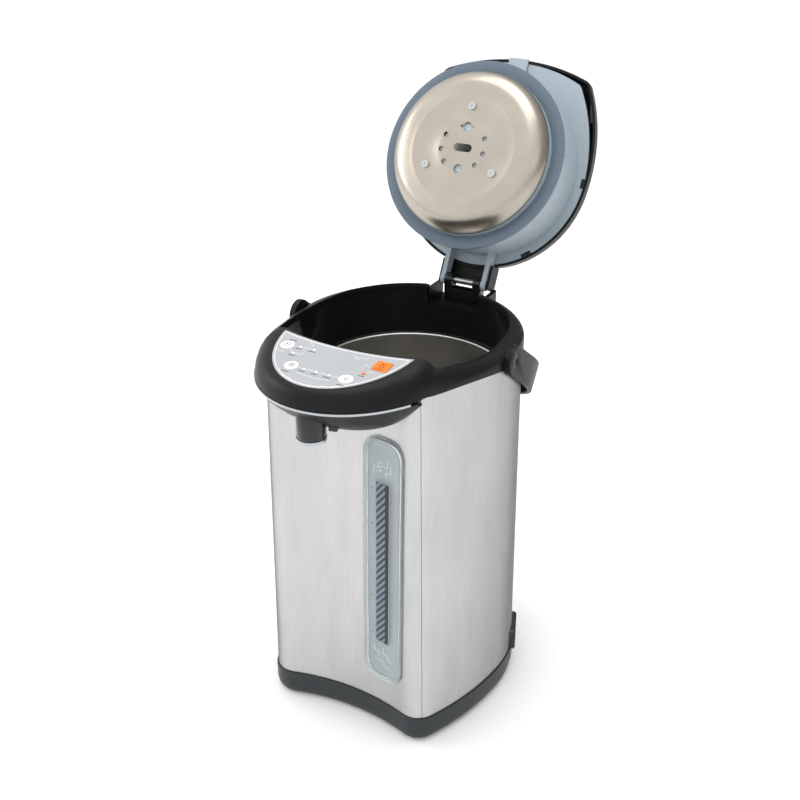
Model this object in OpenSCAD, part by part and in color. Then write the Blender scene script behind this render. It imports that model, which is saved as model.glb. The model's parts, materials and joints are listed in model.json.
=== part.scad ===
// Electric thermo pot: a steel bodied hot water dispenser with a spout beak,
// a key panel, a level gauge, a carrying bail and a hinged lid, drawn open.
// Millimetres. +Z is up, the front faces -Y, and +X is to the right of a user
// who stands in front. The origin is on the table, on the axis of the round back.

/* [Body] */
// Radius of the round back of the body
back_r = 95; // [90:0.5:104]
// Radius of the bowed sides
side_r = 222; // [205:1:260]
// Half the distance between the centres of the front corners
corner_x = 59.8; // [56:0.1:64]
// Distance of those centres in front of the back's axis
corner_y = 83.5; // [80:0.1:90]
// Radius of the front corners
corner_r = 14; // [11:0.5:17]
// Distance of the middle of the hollow front from the back's axis
front_y = 88.4; // [86:0.1:94]
// Widening of the body on each side towards the table
flare = 4.3; // [1:0.1:6]
// Drop from the collar's rim to the height at which the body has its nominal outline
shell_drop = 29.5; // [20:0.5:40]
// Thickness of the steel sheet
sheet_t = 0.8; // [0.6:0.1:1.2]
// Half width of the front sheet at the top
seam_x = 65.5; // [64:0.5:69]

/* [Base] */
// Height of the base ring above the table
base_h = 25.4; // [22:0.1:30]
// How far the base ring stands proud of the steel
base_proud = 1.0; // [0.6:0.1:1.6]
// Wall of the base ring
base_t = 2.6; // [2:0.1:3.4]
// Height of the feet under the base ring
foot_h = 1.2; // [0.8:0.1:2]
// Radius of a foot
foot_r = 9; // [7:0.5:11]
// Thickness of the bottom cover
cover_t = 2.5; // [2:0.1:3.5]

/* [Water pot] */
// Inner radius of the water pot
pot_r = 79.2; // [76:0.1:80]
// Distance of the pot's axis behind the back's axis
pot_y = 9; // [7:0.1:10]
// Height of the pot's floor above the table
pot_floor = 84.5; // [82:0.5:90]
// Height of the pot's rolled rim below the collar's rim
rim_drop = 48; // [44:0.5:52]
// Inner depth of the pot
pot_depth = 197; // [180:1:205]
// Wall of the pot
pot_t = 0.8; // [0.6:0.1:1.2]

/* [Collar] */
// How far the opening in the collar is wider than the pot
opening_over = 1.8; // [1.6:0.1:3]
// How far the collar stands proud of the back of the body
collar_proud = 1.5; // [1.2:0.1:3]
// Half width of the spout beak
beak_a = 78; // [75:0.5:82]
// Half length of the spout beak
beak_b = 96; // [90:0.5:102]
// Distance of the beak's centre in front of the back's axis
beak_y = 60; // [56:0.5:64]
// Wall of the moulded plastic
wall = 2.4; // [2:0.1:3]
// Height of the bright strip round the beak
trim_h = 1.8; // [1.2:0.1:2.6]

/* [Key panel] */
// Half width of the key panel
panel_a = 56.1; // [53:0.1:58]
// Half length of the key panel's outer curve
panel_b = 73.4; // [70:0.1:76]
// Thickness of the key panel
panel_t = 1.2; // [0.8:0.1:1.6]
// Travel of a key
key_travel = 0.8; // [0.5:0.1:1.2]

/* [Spout] */
// Outer radius of the nozzle
nozzle_r = 11; // [9:0.1:12.5]
// Distance of the nozzle in front of the back's axis
nozzle_y = 138; // [134:0.5:141]
// Height of the nozzle's mouth below the collar's inner rim
nozzle_drop = 39.5; // [36:0.1:44]
// Outer radius of the water pipes
pipe_r = 4.5; // [4:0.1:5]

/* [Gauge] */
// Sideways place of the level gauge
gauge_x = 34.5; // [30:0.5:38]
// Width of the gauge window
gauge_w = 39; // [34:0.5:42]
// Height of the lower end of the gauge window
gauge_z0 = 51; // [42:0.5:60]
// Distance of the gauge window's upper end below the collar's inner rim
gauge_drop = 52.5; // [48:0.5:66]
// Corner radius of the gauge window
gauge_corner = 14; // [10:0.5:19]

/* [Lid] */
// Angle by which the open lid has turned
lid_open = 118.1; // [100:0.1:120]
// Distance of the lid's hinge behind the back's axis
hinge_y = 110; // [108.5:0.1:112]
// Height of the lid's hinge above the collar's inner rim
hinge_up = -1.1; // [-2:0.1:1]
// Radius of the hinge pin
hinge_pin_r = 2.5; // [2:0.1:3]
// Height of the domed lid cover
lid_h = 14; // [12:0.5:18]
// Depth of the pan under the lid, below the rim
pan_depth = 67; // [62:0.5:71]
// Radius of the steel pan's rim
pan_r = 69.1; // [66:0.1:70]

/* [Handle] */
// Height of the handle's pivots below the collar's inner rim
bail_drop = 10; // [8:0.5:14]
// Distance of the pivots in front of the back's axis
bail_y = 4; // [2:0.5:8]
// Angle of the resting handle below the horizontal
bail_rest = 35; // [33:0.5:40]
// Width of the strap
bail_w = 24; // [20:0.5:26]
// Thickness of the strap
bail_t = 3.8; // [3.5:0.1:5]
// Radius of the pivot pins
pivot_r = 4; // [3:0.1:5]

/* [Fits] */
// Gap between neighbouring solids that do not move
gap = 0.3; // [0.25:0.01:0.4]
// Radial clearance of a pin in its bore
fit = 0.05; // [0.02:0.01:0.09]

/* [Hidden] */

rim_z = pot_floor + pot_depth + rim_drop;
shell_z = rim_z - shell_drop;
nozzle_z = rim_z - nozzle_drop;
gauge_z1 = rim_z - gauge_drop;
bail_z = rim_z - bail_drop;
opening_r = pot_r + opening_over;

// Points on each stretch of an outline: back, side, corner and front
n_back = 44;
n_side = 12;
n_corner = 7;
n_front = 30;
i_corner = n_back + n_side;
i_front = i_corner + n_corner;
i_front_end = i_front + n_front;
i_corner_end = i_front_end + n_corner;
n_all = i_corner_end + n_side;
round_fn = 48;
// reach of a cut that runs out into the open
far = 20;

charcoal = [0.17, 0.19, 0.2];
gloss_black = [0.07, 0.08, 0.09];
steel = [0.8, 0.79, 0.77];
bright = [0.88, 0.88, 0.9];
smoke = [0.6, 0.68, 0.74];
brass = [0.75, 0.62, 0.32];
copper = [0.72, 0.45, 0.3];
board_green = [0.12, 0.38, 0.22];

// ---- plan outlines -------------------------------------------------------

function sgn(v) = v < 0 ? -1 : 1;
function mix(a, b, t) = a + (b - a) * t;
function clamp(v) = min(1, max(0, v));
function smooth(v) = let (t = clamp(v)) t * t * (3 - 2 * t);

// n points of an elliptic arc; its last point is left to the next arc
function arc(c, rx, ry, a0, a1, n) =
  [for (i = [0 : n - 1]) let (a = mix(a0, a1, i / n)) [c[0] + rx * cos(a), c[1] + ry * sin(a)]];

// the left meeting point of a circle at a with one at b
function meet(a, ra, b, rb) =
  let (
    d = norm(b - a),
    u = (b - a) / d,
    t = (ra * ra - rb * rb + d * d) / (2 * d),
    h = sqrt(ra * ra - t * t)
  ) a + t * u + h * [u[1], -u[0]];

// Outline of tangent arcs, counted from the right end of the round back.
// cy, r: the back; sr: the sides; k, kr: the right corner; fy: middle of the
// front, hollow where it lies behind the corners; o: offset outwards.
function outline(cy, r, sr, k, kr, fy, o = 0) =
  let (
    s = meet([0, cy], sr - r, k, sr - kr),
    m = [-s[0], s[1]],
    km = [-k[0], k[1]],
    a_side = atan2(cy - s[1], -s[0]),
    a_corner = atan2(k[1] - s[1], k[0] - s[0]),
    e = fy + k[1],
    fr = (k[0] * k[0] + e * e - kr * kr) / (2 * (kr - e)),
    f = [0, -fy - fr],
    b = atan2(sgn(fr) * (k[1] - f[1]), sgn(fr) * k[0])
  ) concat(
    arc([0, cy], r + o, r + o, a_side, 180 - a_side, n_back),
    arc(m, sr + o, sr + o, 180 - a_side, 180 - a_corner, n_side),
    arc(km, kr + o, kr + o, 180 - a_corner, 360 - b, n_corner),
    arc(f, fr - o, fr - o, 180 - b, b, n_front),
    arc(k, kr + o, kr + o, b - 180, a_corner, n_corner),
    arc(s, sr + o, sr + o, a_corner, a_side, n_side)
  );

// the steel body, the opening in the collar and the lid
function body(o) = outline(0, back_r, side_r, [corner_x, -corner_y], corner_r, front_y, o);
lid_side_r = 160;
opening_k = [62.5, -70];
opening_kr = 9;
opening_front = 91;
lid_gap = 1.2;
lid_over = 5.5;
function opening(o) =
  outline(pot_y, opening_r, lid_side_r, opening_k, opening_kr, opening_front, o);
function lid_line(o) =
  outline(pot_y, opening_r + lid_over, lid_side_r, opening_k, opening_kr - lid_gap,
          opening_front - lid_gap, o);

// the collar at its widest: round back, bowed sides and the elliptic beak
collar_r = back_r + collar_proud;
join_a = -18;
beak_a0 = -26;
join = [beak_a * cos(join_a), -beak_y + beak_b * sin(join_a)];
function collar_line(o) =
  let (
    s = meet([0, pot_y], side_r - collar_r, join, side_r),
    m = [-s[0], s[1]],
    a_side = atan2(pot_y - s[1], -s[0]),
    a_join = atan2(join[1] - s[1], join[0] - s[0]),
    e = [0, -beak_y],
    ex = beak_a + o,
    ey = beak_b + o
  ) concat(
    arc([0, pot_y], collar_r + o, collar_r + o, a_side, 180 - a_side, n_back),
    arc(m, side_r + o, side_r + o, 180 - a_side, 180 - a_join, n_side),
    arc(e, ex, ey, 180 - join_a, 180 - beak_a0, n_corner),
    arc(e, ex, ey, 180 - beak_a0, 360 + beak_a0, n_front),
    arc(e, ex, ey, beak_a0, join_a, n_corner),
    arc(s, side_r + o, side_r + o, a_join, a_side, n_side)
  );

// a circle round the pot's axis, with its points in line with an outline's
function pot_circle(r, like) =
  [for (p = like) let (d = p - [0, pot_y]) [0, pot_y] + r * d / norm(d)];

function lift(pts, z) = [for (p = pts) [p[0], p[1], z]];

// ---- lofts ---------------------------------------------------------------

// Solid between rings of equal length, counterclockwise from above, lowest first
module loft(rings) {
  n = len(rings[0]);
  m = len(rings);
  polyhedron(
    points = [for (r = rings) each r],
    faces = concat(
      [[for (i = [0 : n - 1]) i]],
      [[for (i = [n - 1 : -1 : 0]) (m - 1) * n + i]],
      [for (k = [0 : m - 2], i = [0 : n - 1]) let (j = (i + 1) % n)
        each [[k * n + i, k * n + n + i, k * n + n + j], [k * n + i, k * n + n + j, k * n + j]]]
    )
  );
}

// Closed wall that runs round an outline: the rings go once round its section,
// up the outside and down the inside
module wall_loft(rings) {
  n = len(rings[0]);
  m = len(rings);
  polyhedron(
    points = [for (r = rings) each r],
    faces = [for (k = [0 : m - 1], i = [0 : n - 1])
      let (j = (i + 1) % n, a = k * n, b = (k + 1) % m * n)
        each [[a + i, b + i, b + j], [a + i, b + j, a + j]]]
  );
}

// Thin curved skin between two grids of points, the outer grid seen from outside
// with its columns running to the right and its rows running down
module skin(outer, inner) {
  r = len(outer);
  c = len(outer[0]);
  n = r * c;
  function at(i, j) = i * c + j;
  polyhedron(
    points = concat([for (row = outer) each row], [for (row = inner) each row]),
    faces = concat(
      [for (i = [0 : r - 2], j = [0 : c - 2])
        each [[at(i, j), at(i, j + 1), at(i + 1, j + 1)], [at(i, j), at(i + 1, j + 1), at(i + 1, j)]]],
      [for (i = [0 : r - 2], j = [0 : c - 2])
        each [[n + at(i, j), n + at(i + 1, j + 1), n + at(i, j + 1)],
              [n + at(i, j), n + at(i + 1, j), n + at(i + 1, j + 1)]]],
      [for (j = [0 : c - 2])
        each [[at(0, j), n + at(0, j), n + at(0, j + 1)], [at(0, j), n + at(0, j + 1), at(0, j + 1)],
              [at(r - 1, j), n + at(r - 1, j + 1), n + at(r - 1, j)],
              [at(r - 1, j), at(r - 1, j + 1), n + at(r - 1, j + 1)]]],
      [for (i = [0 : r - 2])
        each [[at(i, 0), n + at(i + 1, 0), n + at(i, 0)], [at(i, 0), at(i + 1, 0), n + at(i + 1, 0)],
              [at(i, c - 1), n + at(i, c - 1), n + at(i + 1, c - 1)],
              [at(i, c - 1), n + at(i + 1, c - 1), at(i + 1, c - 1)]]]
    )
  );
}

// ---- small shapes ----------------------------------------------------------

module rod(r, h) cylinder(r = r, h = h, $fn = round_fn);

module tube(r, r_in, h) difference() {
  rod(r, h);
  translate([0, 0, -1]) rod(r_in, h + 2);
}

module rod_x(r, x0, x1) translate([x0, 0, 0]) rotate([0, 90, 0]) rod(r, x1 - x0);

module box(x0, x1, y0, y1, z0, z1) translate([x0, y0, z0]) cube([x1 - x0, y1 - y0, z1 - z0]);

// rounded rectangle of half sizes hx and hy
n_round = 8;
function rounded(hx, hy, r) = [for (s = [[1, 1, 0], [-1, 1, 90], [-1, -1, 180], [1, -1, 270]], i = [0 : n_round])
  let (a = s[2] + 90 * i / n_round) [s[0] * (hx - r) + r * cos(a), s[1] * (hy - r) + r * sin(a)]];

// upright rounded window in the XZ plane, from y0 to y1
module window(w, z0, z1, r, y0, y1) translate([0, y1, (z0 + z1) / 2]) rotate([90, 0, 0])
  linear_extrude(y1 - y0) polygon(rounded(w / 2, (z1 - z0) / 2, r));

// upright stadium in the XZ plane, from y0 to y1
module stadium(w, z0, z1, y0, y1) translate([0, y1, 0]) rotate([90, 0, 0]) union() {
  translate([0, z0 + w / 2, 0]) rod(w / 2, y1 - y0);
  translate([0, z1 - w / 2, 0]) rod(w / 2, y1 - y0);
  translate([-w / 2, z0 + w / 2, 0]) cube([w, z1 - z0 - w, y1 - y0]);
}

slot_half = 0.3;
module pan_screw(r_head, h_head, r, h) {
  translate([0, 0, -h_head]) difference() {
    rod(r_head, h_head);
    for (a = [0, 90]) rotate(a) box(-r, r, -slot_half, slot_half, -h_head, h_head / 2);
  }
  rod(r, h);
}

module both_sides() {
  children();
  mirror([1, 0, 0]) children();
}

// ---- shared places -----------------------------------------------------------

function flare_at(z) = flare * (1 - z / shell_z);

// The collar's lower edge falls from the front corners towards the back
collar_low = rim_z - 8.5;
collar_fall = 17;
fall_from = -75;
fall_len = 150;
function low_z(y) = collar_low - collar_fall * smooth((y - fall_from) / fall_len);
shell_hide = 2.5;
function shell_top(y) = low_z(y) + shell_hide;

wide_z = rim_z - 7;
crease_z = rim_z - 1.2;
beak_z = wide_z - 0.3;
trim_z = beak_z - gap - trim_h;
chin_z = trim_z - gap;

// The key panel's plane falls towards the front
panel_y = 74.1;
panel_slope = 0.12;
panel_z = rim_z + 15.6;
function deck_z(y) = panel_z + panel_slope * (y + panel_y);
panel_tilt = atan(panel_slope);

// local frame on the key panel: z out of the panel, origin at x, y on its face
module on_panel(x, y) translate([x, y, deck_z(y)]) rotate([panel_tilt, 0, 0]) children();

module panel_shape(o, t) linear_extrude(t)
  intersection() {
    polygon(arc([0, 0], panel_a + o, (panel_b + o) / cos(panel_tilt), 0, 360, 96));
    translate([0, 214.5]) difference() {
      circle(r = 400, $fn = 24);
      circle(r = 232.5 - o, $fn = 360);
    }
  }

mouth_z = rim_z - rim_drop;
bead_r = 1.3;
bead_c = pot_r + 1.4;
pot_out = pot_r + pot_t;
liner_r = bead_c + bead_r + 0.5;
liner_t = 2;
liner_foot = mouth_z - 6.6;
liner_knee = rim_z - 17.5;
lip_h = 5;
lip_r = 0.8;

hinge_z = rim_z + hinge_up;
notch_w = 24.8;
notch_z = rim_z - 18.5;
cheek_t = 3.8;
seat_back = hinge_y + 8;
seat_front = 88;

lid_z = rim_z + 5.2;
lid_t = 2.2;
plate_z = rim_z - pan_depth;
pan_h = 15.9;
pan_rim = plate_z + pan_h;

// turns what is drawn closed to the open lid's place
module open_lid() translate([0, hinge_y, hinge_z]) rotate([-lid_open, 0, 0])
  translate([0, -hinge_y, -hinge_z]) children();

// ---- base ---------------------------------------------------------------------

ring_top = flare_at(base_h) + base_proud + gap;
ring_in = flare_at(base_h) + gap;
ledge_drop = 3;
ledge_z = base_h - ledge_drop;
ledge_w = 4;
ledge_t = 3;
ledge_rise = 1.5;
toe_z = 1.4;
toe_in = 3.2;
heel_z = 4.4;
edge_in = 1.2;
swell_z = 9.5;
lip_in = 3;
edge_r = 0.5;
bottom_z = foot_h;
post_at = [[45, -40], [-45, -40], [52, 44], [-52, 44]];
post_r = 5;
screw_r = 2;

module base_housing() color([0.24, 0.27, 0.28]) difference() {
  wall_loft([
    lift(body(ring_in - base_t - lip_in), bottom_z),
    lift(body(-edge_in), bottom_z),
    lift(body(ring_top - toe_in), bottom_z + toe_z),
    lift(body(ring_top - edge_in), bottom_z + heel_z),
    lift(body(ring_top), bottom_z + swell_z),
    lift(body(ring_top), base_h - edge_r),
    lift(body(ring_top - edge_r), base_h),
    lift(body(ring_in), base_h),
    lift(body(ring_in), ledge_z),
    lift(body(ring_in - ledge_w), ledge_z),
    lift(body(ring_in - ledge_w), ledge_z - ledge_t),
    lift(body(ring_in - base_t), ledge_z - ledge_t - ledge_rise),
    lift(body(ring_in - base_t), bottom_z + swell_z),
    lift(body(ring_in - base_t - lip_in), bottom_z + cover_t + edge_r)
  ]);
  inlet_frame() inlet_block(gap);
}

module bottom_cover() color([0.2, 0.22, 0.23]) {
  difference() {
    translate([0, 0, bottom_z])
      linear_extrude(cover_t) polygon(body(ring_in - base_t - lip_in - gap));
    for (p = post_at) translate([p[0], p[1], 0]) rod(screw_r + fit, 10);
  }
  for (p = post_at) translate([p[0], p[1], bottom_z + cover_t])
    tube(post_r, screw_r + fit, shield_z - gap - bottom_z - cover_t);
}

// four feet near the corners and a pad in the middle
foot_at = [[0, 0], [52, -70], [-52, -70], [56, 58], [-56, 58]];
module rubber_feet() color([0.1, 0.1, 0.1]) for (p = foot_at) translate([p[0], p[1], 0]) {
  cylinder(r1 = foot_r - edge_r, r2 = foot_r, h = foot_h, $fn = round_fn);
}

screw_len = 14;
head_share = 0.8;
module base_screws() color("silver") for (p = post_at)
  translate([p[0], p[1], bottom_z]) pan_screw(2 * screw_r, foot_h * head_share, screw_r, screw_len);

// ---- steel body -----------------------------------------------------------------

// Full wall of the body; its top follows the collar's lower edge
module shell_wall() {
  foot = ledge_z + gap;
  top = body(0);
  top_in = body(-sheet_t);
  wall_loft([
    lift(body(flare_at(foot)), foot),
    ring_of(function(i) at_z(top[i], shell_top(top[i][1]))),
    ring_of(function(i) at_z(top_in[i], shell_top(top[i][1]))),
    lift(body(flare_at(foot) - sheet_t), foot)
  ]);
}

// Prism that holds the front sheet: it widens a little towards the table
seam_spread = 6;
zone_depth = 4 * corner_r;
zone_top = rim_z + rim_drop;
module front_zone(o) translate([0, -corner_y + corner_r / 2, 0]) rotate([90, 0, 0])
  linear_extrude(zone_depth) polygon([
    [-seam_x - seam_spread - o, 0], [seam_x + seam_spread + o, 0],
    [seam_x + o, zone_top], [-seam_x - o, zone_top]
  ]);

gauge_y = sqrt(pow(front_arc_r(), 2) - gauge_x * gauge_x) - front_arc_r() - front_y;
gauge_turn = -asin(gauge_x / front_arc_r());
gauge_lean = atan(flare / shell_z);
function front_arc_r() = let (e = front_y - corner_y)
  (corner_x * corner_x + e * e - corner_r * corner_r) / (2 * (corner_r - e));

// local frame of the gauge: x to the right, y inwards, z up along the leaning sheet
module on_gauge() translate([gauge_x, gauge_y, shell_z]) rotate([0, 0, gauge_turn])
  rotate([-gauge_lean, 0, 0]) translate([0, 0, -shell_z]) children();

// the flat lens lies over the hollow sheet, so its flange clears the sheet's bow
lens_back = gauge_w * gauge_w / (8 * front_arc_r()) + gap;
lens_proud = lens_back + 1.9;
lens_in = 1.6;
lens_rim = 3;

module front_panel() color(steel) difference() {
  intersection() {
    shell_wall();
    front_zone(-gap / 2);
  }
  on_gauge() window(gauge_w - 2 * lens_rim + 2 * gap, gauge_z0 + lens_rim - gap,
                    gauge_z1 - lens_rim + gap, gauge_corner - lens_rim + gap, -far, far);
  spout_run(pipe_r + 1, 0, spout_len);
}

module rear_shell() color(steel) difference() {
  shell_wall();
  front_zone(gap / 2);
  inlet_frame() inlet_block(gap);
}

// ---- collar ------------------------------------------------------------------------

w_in = collar_line(-wall);
i0 = opening(0);
b_low = body(gap);
edge_t = 0.9;
b_out = body(gap + edge_t);
// 0 on the round back, 1 from the corners to the front
function sideness(i) = i <= n_back ? 0 : i < i_corner ? (i - n_back) / n_side :
  i <= i_corner_end ? 1 : (n_all - i) / n_side;
widest = collar_line(0);
w0 = [for (i = [0 : n_all - 1]) mix(b_out[i], widest[i], smooth(sideness(i)))];
rib_w = 1.2;
b_rib = body(-rib_w);
beak_step = 0.1;

// 0 on the back and sides, 1 on the beak
function beakness(i) =
  i <= i_corner ? 0 : i < i_front ? (i - i_corner) / n_corner :
  i <= i_front_end ? 1 : i < i_corner_end ? (i_corner_end - i) / n_corner : 0;

// share of the way from the opening to the beak's edge at which a point leaves
// the flat deck that carries the key panel
deck_margin = 1.6;
function deck_share(p, w) =
  let (
    a = panel_a + deck_margin,
    b = panel_b + deck_margin,
    u = [p[0] / a, (p[1] + panel_y) / b],
    v = [(w[0] - p[0]) / a, (w[1] - p[1]) / b],
    q = u * v,
    vv = v * v
  ) (-q + sqrt(max(0, q * q - vv * (u * u - 1)))) / vv;

rise_y = 72;
function rise(y) = pow(clamp(-y / rise_y), 2);
corner_rise = 7.5;
crease_w = 3;
corner_share = 0.17;
least_share = 0.1;
function rim_share(i) = mix(crease_w / norm(w0[i] - i0[i]), corner_share, rise(i0[i][1]));
function share(i) =
  mix(rim_share(i), max(least_share, deck_share(i0[i], w0[i])), smooth(beakness(i)));
blend_w = 15;
function rim_height(i) =
  let (y = i0[i][1], t = smooth((opening_k[0] + opening_kr - abs(i0[i][0])) / blend_w))
    mix(rim_z + corner_rise * rise(y), deck_z(y), t * beakness(i));
function crease_height(i) =
  let (
    y = mix(i0[i][1], w0[i][1], share(i)),
    t = smooth((opening_k[0] + opening_kr - abs(i0[i][0])) / blend_w) * beakness(i)
  ) mix(rim_height(i) - (rim_z - crease_z) * (1 - rise(i0[i][1])), deck_z(y), t);
function at_share(i, s) = mix(i0[i], w0[i], s);
function towards_rim(i) = (w0[i] - i0[i]) / norm(w0[i] - i0[i]);

// point of the rounded shoulder between the widest line (t = 0) and the crease (t = 90)
function shoulder(i, t, o = 0) =
  let (
    s = share(i),
    p = at_share(i, mix(1, s, 1 - cos(t))) - o * cos(t) * towards_rim(i),
    z = mix(wide_z, crease_height(i), sin(t)) - o * sin(t)
  ) [p[0], p[1], z];

function ring_of(f) = [for (i = [0 : n_all - 1]) f(i)];
function plan_mix(a, b, i) = mix(a[i], b[i], smooth(beakness(i)));
function at_z(p, z) = [p[0], p[1], z];
function low_of(i) = mix(low_z(b_low[i][1]), beak_z, smooth(beakness(i)));
function rib_of(i) = low_of(i) + shell_hide + gap;

// thickness of the deck, which is thicker under the key panel's recess
function under(i) = wall + (panel_t + gap) * smooth(beakness(i));

module collar_body() wall_loft([
  ring_of(function(i) at_z(plan_mix(b_low, w_in, i), low_of(i))),
  ring_of(function(i) at_z(plan_mix(b_out, w0, i), low_of(i))),
  for (t = [0 : 18 : 90]) ring_of(function(i) shoulder(i, t)),
  ring_of(function(i) at_z(at_share(i, share(i) / 2), (rim_height(i) + crease_height(i)) / 2)),
  ring_of(function(i) at_z(i0[i] + lip_r * towards_rim(i), rim_height(i))),
  ring_of(function(i) at_z(i0[i], rim_height(i) - lip_r)),
  ring_of(function(i) at_z(i0[i], rim_height(i) - lip_h)),
  ring_of(function(i) at_z(i0[i] + wall * towards_rim(i), rim_height(i) - lip_h)),
  ring_of(function(i) at_z(i0[i] + wall * towards_rim(i), rim_height(i) - under(i))),
  ring_of(function(i) at_z(at_share(i, share(i)), crease_height(i) - under(i))),
  ring_of(function(i) shoulder(i, 50, wall)),
  ring_of(function(i) shoulder(i, 20, wall)),
  ring_of(function(i) at_z(plan_mix(b_rib, w_in, i), mix(rib_of(i), wide_z - beak_step, smooth(beakness(i))))),
  ring_of(function(i) at_z(plan_mix(b_low, w_in, i), mix(rib_of(i), beak_z + beak_step, smooth(beakness(i)))))
]);

socket_r = 12;
socket_x = back_r + gap;

module at_pivots() both_sides() translate([0, -bail_y, bail_z]) children();

module collar() color(charcoal) difference() {
  union() {
    collar_body();
    hinge_seat();
    for (p = board_screw_at) on_panel(p[0], p[1]) translate([0, 0, -board_drop + fit])
      rod(board_screw_r + boss_t, board_drop - key_drop + deck_t / 2);
  }
  hinge_notch();
  on_panel(0, -panel_y) translate([0, 0, -panel_t - gap]) panel_shape(gap, far);
  for (k = keys) on_panel(k[0], k[1]) key_hole(k, far);
  for (p = board_screw_at) on_panel(p[0], p[1]) translate([0, 0, -board_drop - board_t])
    rod(board_screw_r + fit, board_drop + board_t - key_drop + deck_t + gap);
  at_pivots() rod_x(socket_r + gap, socket_x, socket_x + far);
}

// block behind the rim in which the hinge sits, with rounded rear corners
module hinge_seat() {
  w = notch_w + cheek_t;
  difference() {
    box(-w, w, seat_front, seat_back - cheek_t, notch_z - cheek_t, wide_z);
    translate([0, pot_y, notch_z - far]) rod(liner_r + liner_t + gap, 2 * far);
  }
  box(-notch_w, notch_w, back_r + gap, seat_back, notch_z - cheek_t, wide_z);
  both_sides() translate([notch_w, seat_back - cheek_t, notch_z - cheek_t])
    rod(cheek_t, wide_z - notch_z + cheek_t);
}
module hinge_notch()
  box(-notch_w, notch_w, seat_front - far, seat_back + far, notch_z, rim_z + far);

// The well round the pot's mouth widens towards the front from low down, so
// that the lid's gasket can swing out
knee_share = 0.3;
function frontness(y) = smooth((pot_y - y) / (pot_y + opening_front));
function knee(o) =
  let (a = opening(o), b = pot_circle(liner_r + o, a))
    [for (i = [0 : n_all - 1]) mix(b[i], a[i], knee_share * frontness(a[i][1]))];

// the well is upright where the lid's edge comes down into it
edge_room = 2;
function liner_top(i) = rim_height(i) - lip_h - gap;
function liner_bend(i) = min(liner_top(i) - gap, lid_z - edge_room);

module collar_liner() color(gloss_black) difference() {
  rings_out = opening(liner_t);
  rings_in = opening(0);
  foot_out = lift(pot_circle(liner_r + liner_t, rings_in), liner_foot);
  wall_loft([
    lift(pot_circle(liner_r - liner_t, rings_in), liner_foot),
    foot_out,
    [for (p = foot_out) at_z(p, liner_foot + 2 * liner_t)],
    lift(knee(liner_t), liner_knee),
    ring_of(function(i) at_z(rings_out[i], liner_bend(i))),
    ring_of(function(i) at_z(rings_out[i], liner_top(i))),
    ring_of(function(i) at_z(rings_in[i], liner_top(i))),
    ring_of(function(i) at_z(rings_in[i], liner_bend(i))),
    lift(knee(0), liner_knee + 1),
    lift(pot_circle(liner_r, rings_in), liner_foot + 2 * liner_t),
    lift(pot_circle(liner_r, rings_in), liner_foot + liner_t),
    lift(pot_circle(liner_r - liner_t, rings_in), liner_foot + liner_t)
  ]);
  hinge_notch();
  box(-latch_w - gap, latch_w + gap, -opening_front - far, -opening_front + edge_room,
      latch_z - 2 * gap, rim_z + far);
}

// ---- beak ------------------------------------------------------------------------------

trim_a = 30;
trim_proud = 0.5;
n_chin = 30;
module chrome_trim() color(bright) translate([0, 0, trim_z]) linear_extrude(trim_h)
  polygon(concat(
    arc([0, -beak_y], beak_a + trim_proud, beak_b + trim_proud, 180 + trim_a, 360 - trim_a, 2 * n_chin),
    arc([0, -beak_y], beak_a - wall, beak_b - wall, 360 - trim_a, 180 + trim_a, 2 * n_chin)
  ));

n_drop = 6;
chin_a = 28;
chin_drop = 40;
chin_low = chin_z - chin_drop;
chin_bulge = 12;
chin_edge = 3;
chin_half = 69;
chin_curve = 2.2;
chin_in = 0.985;
chin_way = [0, -sqrt(0.5), -sqrt(0.5)];
chin_soft = 40;
chin_gap = 2 * gap;
// height at which the chin meets the steel
function chin_foot(x) =
  chin_low + (chin_drop - chin_edge) * pow(clamp(abs(x) / chin_half), chin_curve);
function front_line(x, o) =
  abs(x) < corner_x - corner_r / 3
    ? sqrt(pow(front_arc_r() - o, 2) - x * x) - front_arc_r() - front_y
    : -corner_y - sqrt(max(0, pow(corner_r + o, 2) - pow(abs(x) - corner_x, 2)));
function chin_point(j, s, o) =
  let (
    a = mix(180 + chin_a, 360 - chin_a, j / n_chin),
    r = [(beak_a - o) * cos(a), -beak_y + (beak_b - o) * sin(a), chin_z],
    x = r[0] * chin_in,
    q = [x, front_line(x, chin_gap), chin_foot(x) + o],
    mid = (r + q) / 2,
    c = mid + (chin_bulge - o) * chin_way * clamp(norm(r - q) / chin_soft)
  ) (1 - s) * (1 - s) * r + 2 * s * (1 - s) * c + s * s * q;

module spout_chin() color([0.22, 0.24, 0.25]) difference() {
  skin(
    [for (k = [0 : n_drop]) [for (j = [0 : n_chin]) chin_point(j, k / n_drop, 0)]],
    [for (k = [0 : n_drop]) [for (j = [0 : n_chin]) chin_point(j, k / n_drop, wall)]]
  );
  translate([0, -nozzle_y, nozzle_z]) rod(nozzle_r + gap, chin_drop);
}

ring_h = 2.2;
pipe_z = rim_z - 18.5;
spout_low = rim_z - 43.5;
riser_y = -82;
pipe_t = 1.2;
bore_r = pipe_r - pipe_t;
side_bore_r = bore_r - 0.4;
nozzle_t = 2.2;
nozzle_in = nozzle_r - nozzle_t;
nozzle_h = 24;
plug_z = nozzle_z + 10;
plug_t = 2;
elbow_r = pipe_r + 0.5;
ring_proud = 0.3;
spout_rise = atan2(pipe_z - spout_low, nozzle_y + riser_y);
spout_start = (pipe_r + gap + pipe_r * sin(spout_rise)) / cos(spout_rise);

// along the sloping pipe from the riser to the nozzle
module spout_run(r, from, to) translate([0, riser_y, spout_low]) rotate([90 - spout_rise, 0, 0])
  translate([0, 0, from]) rod(r, to - from);
spout_len = norm([nozzle_y + riser_y, pipe_z - spout_low]);

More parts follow.
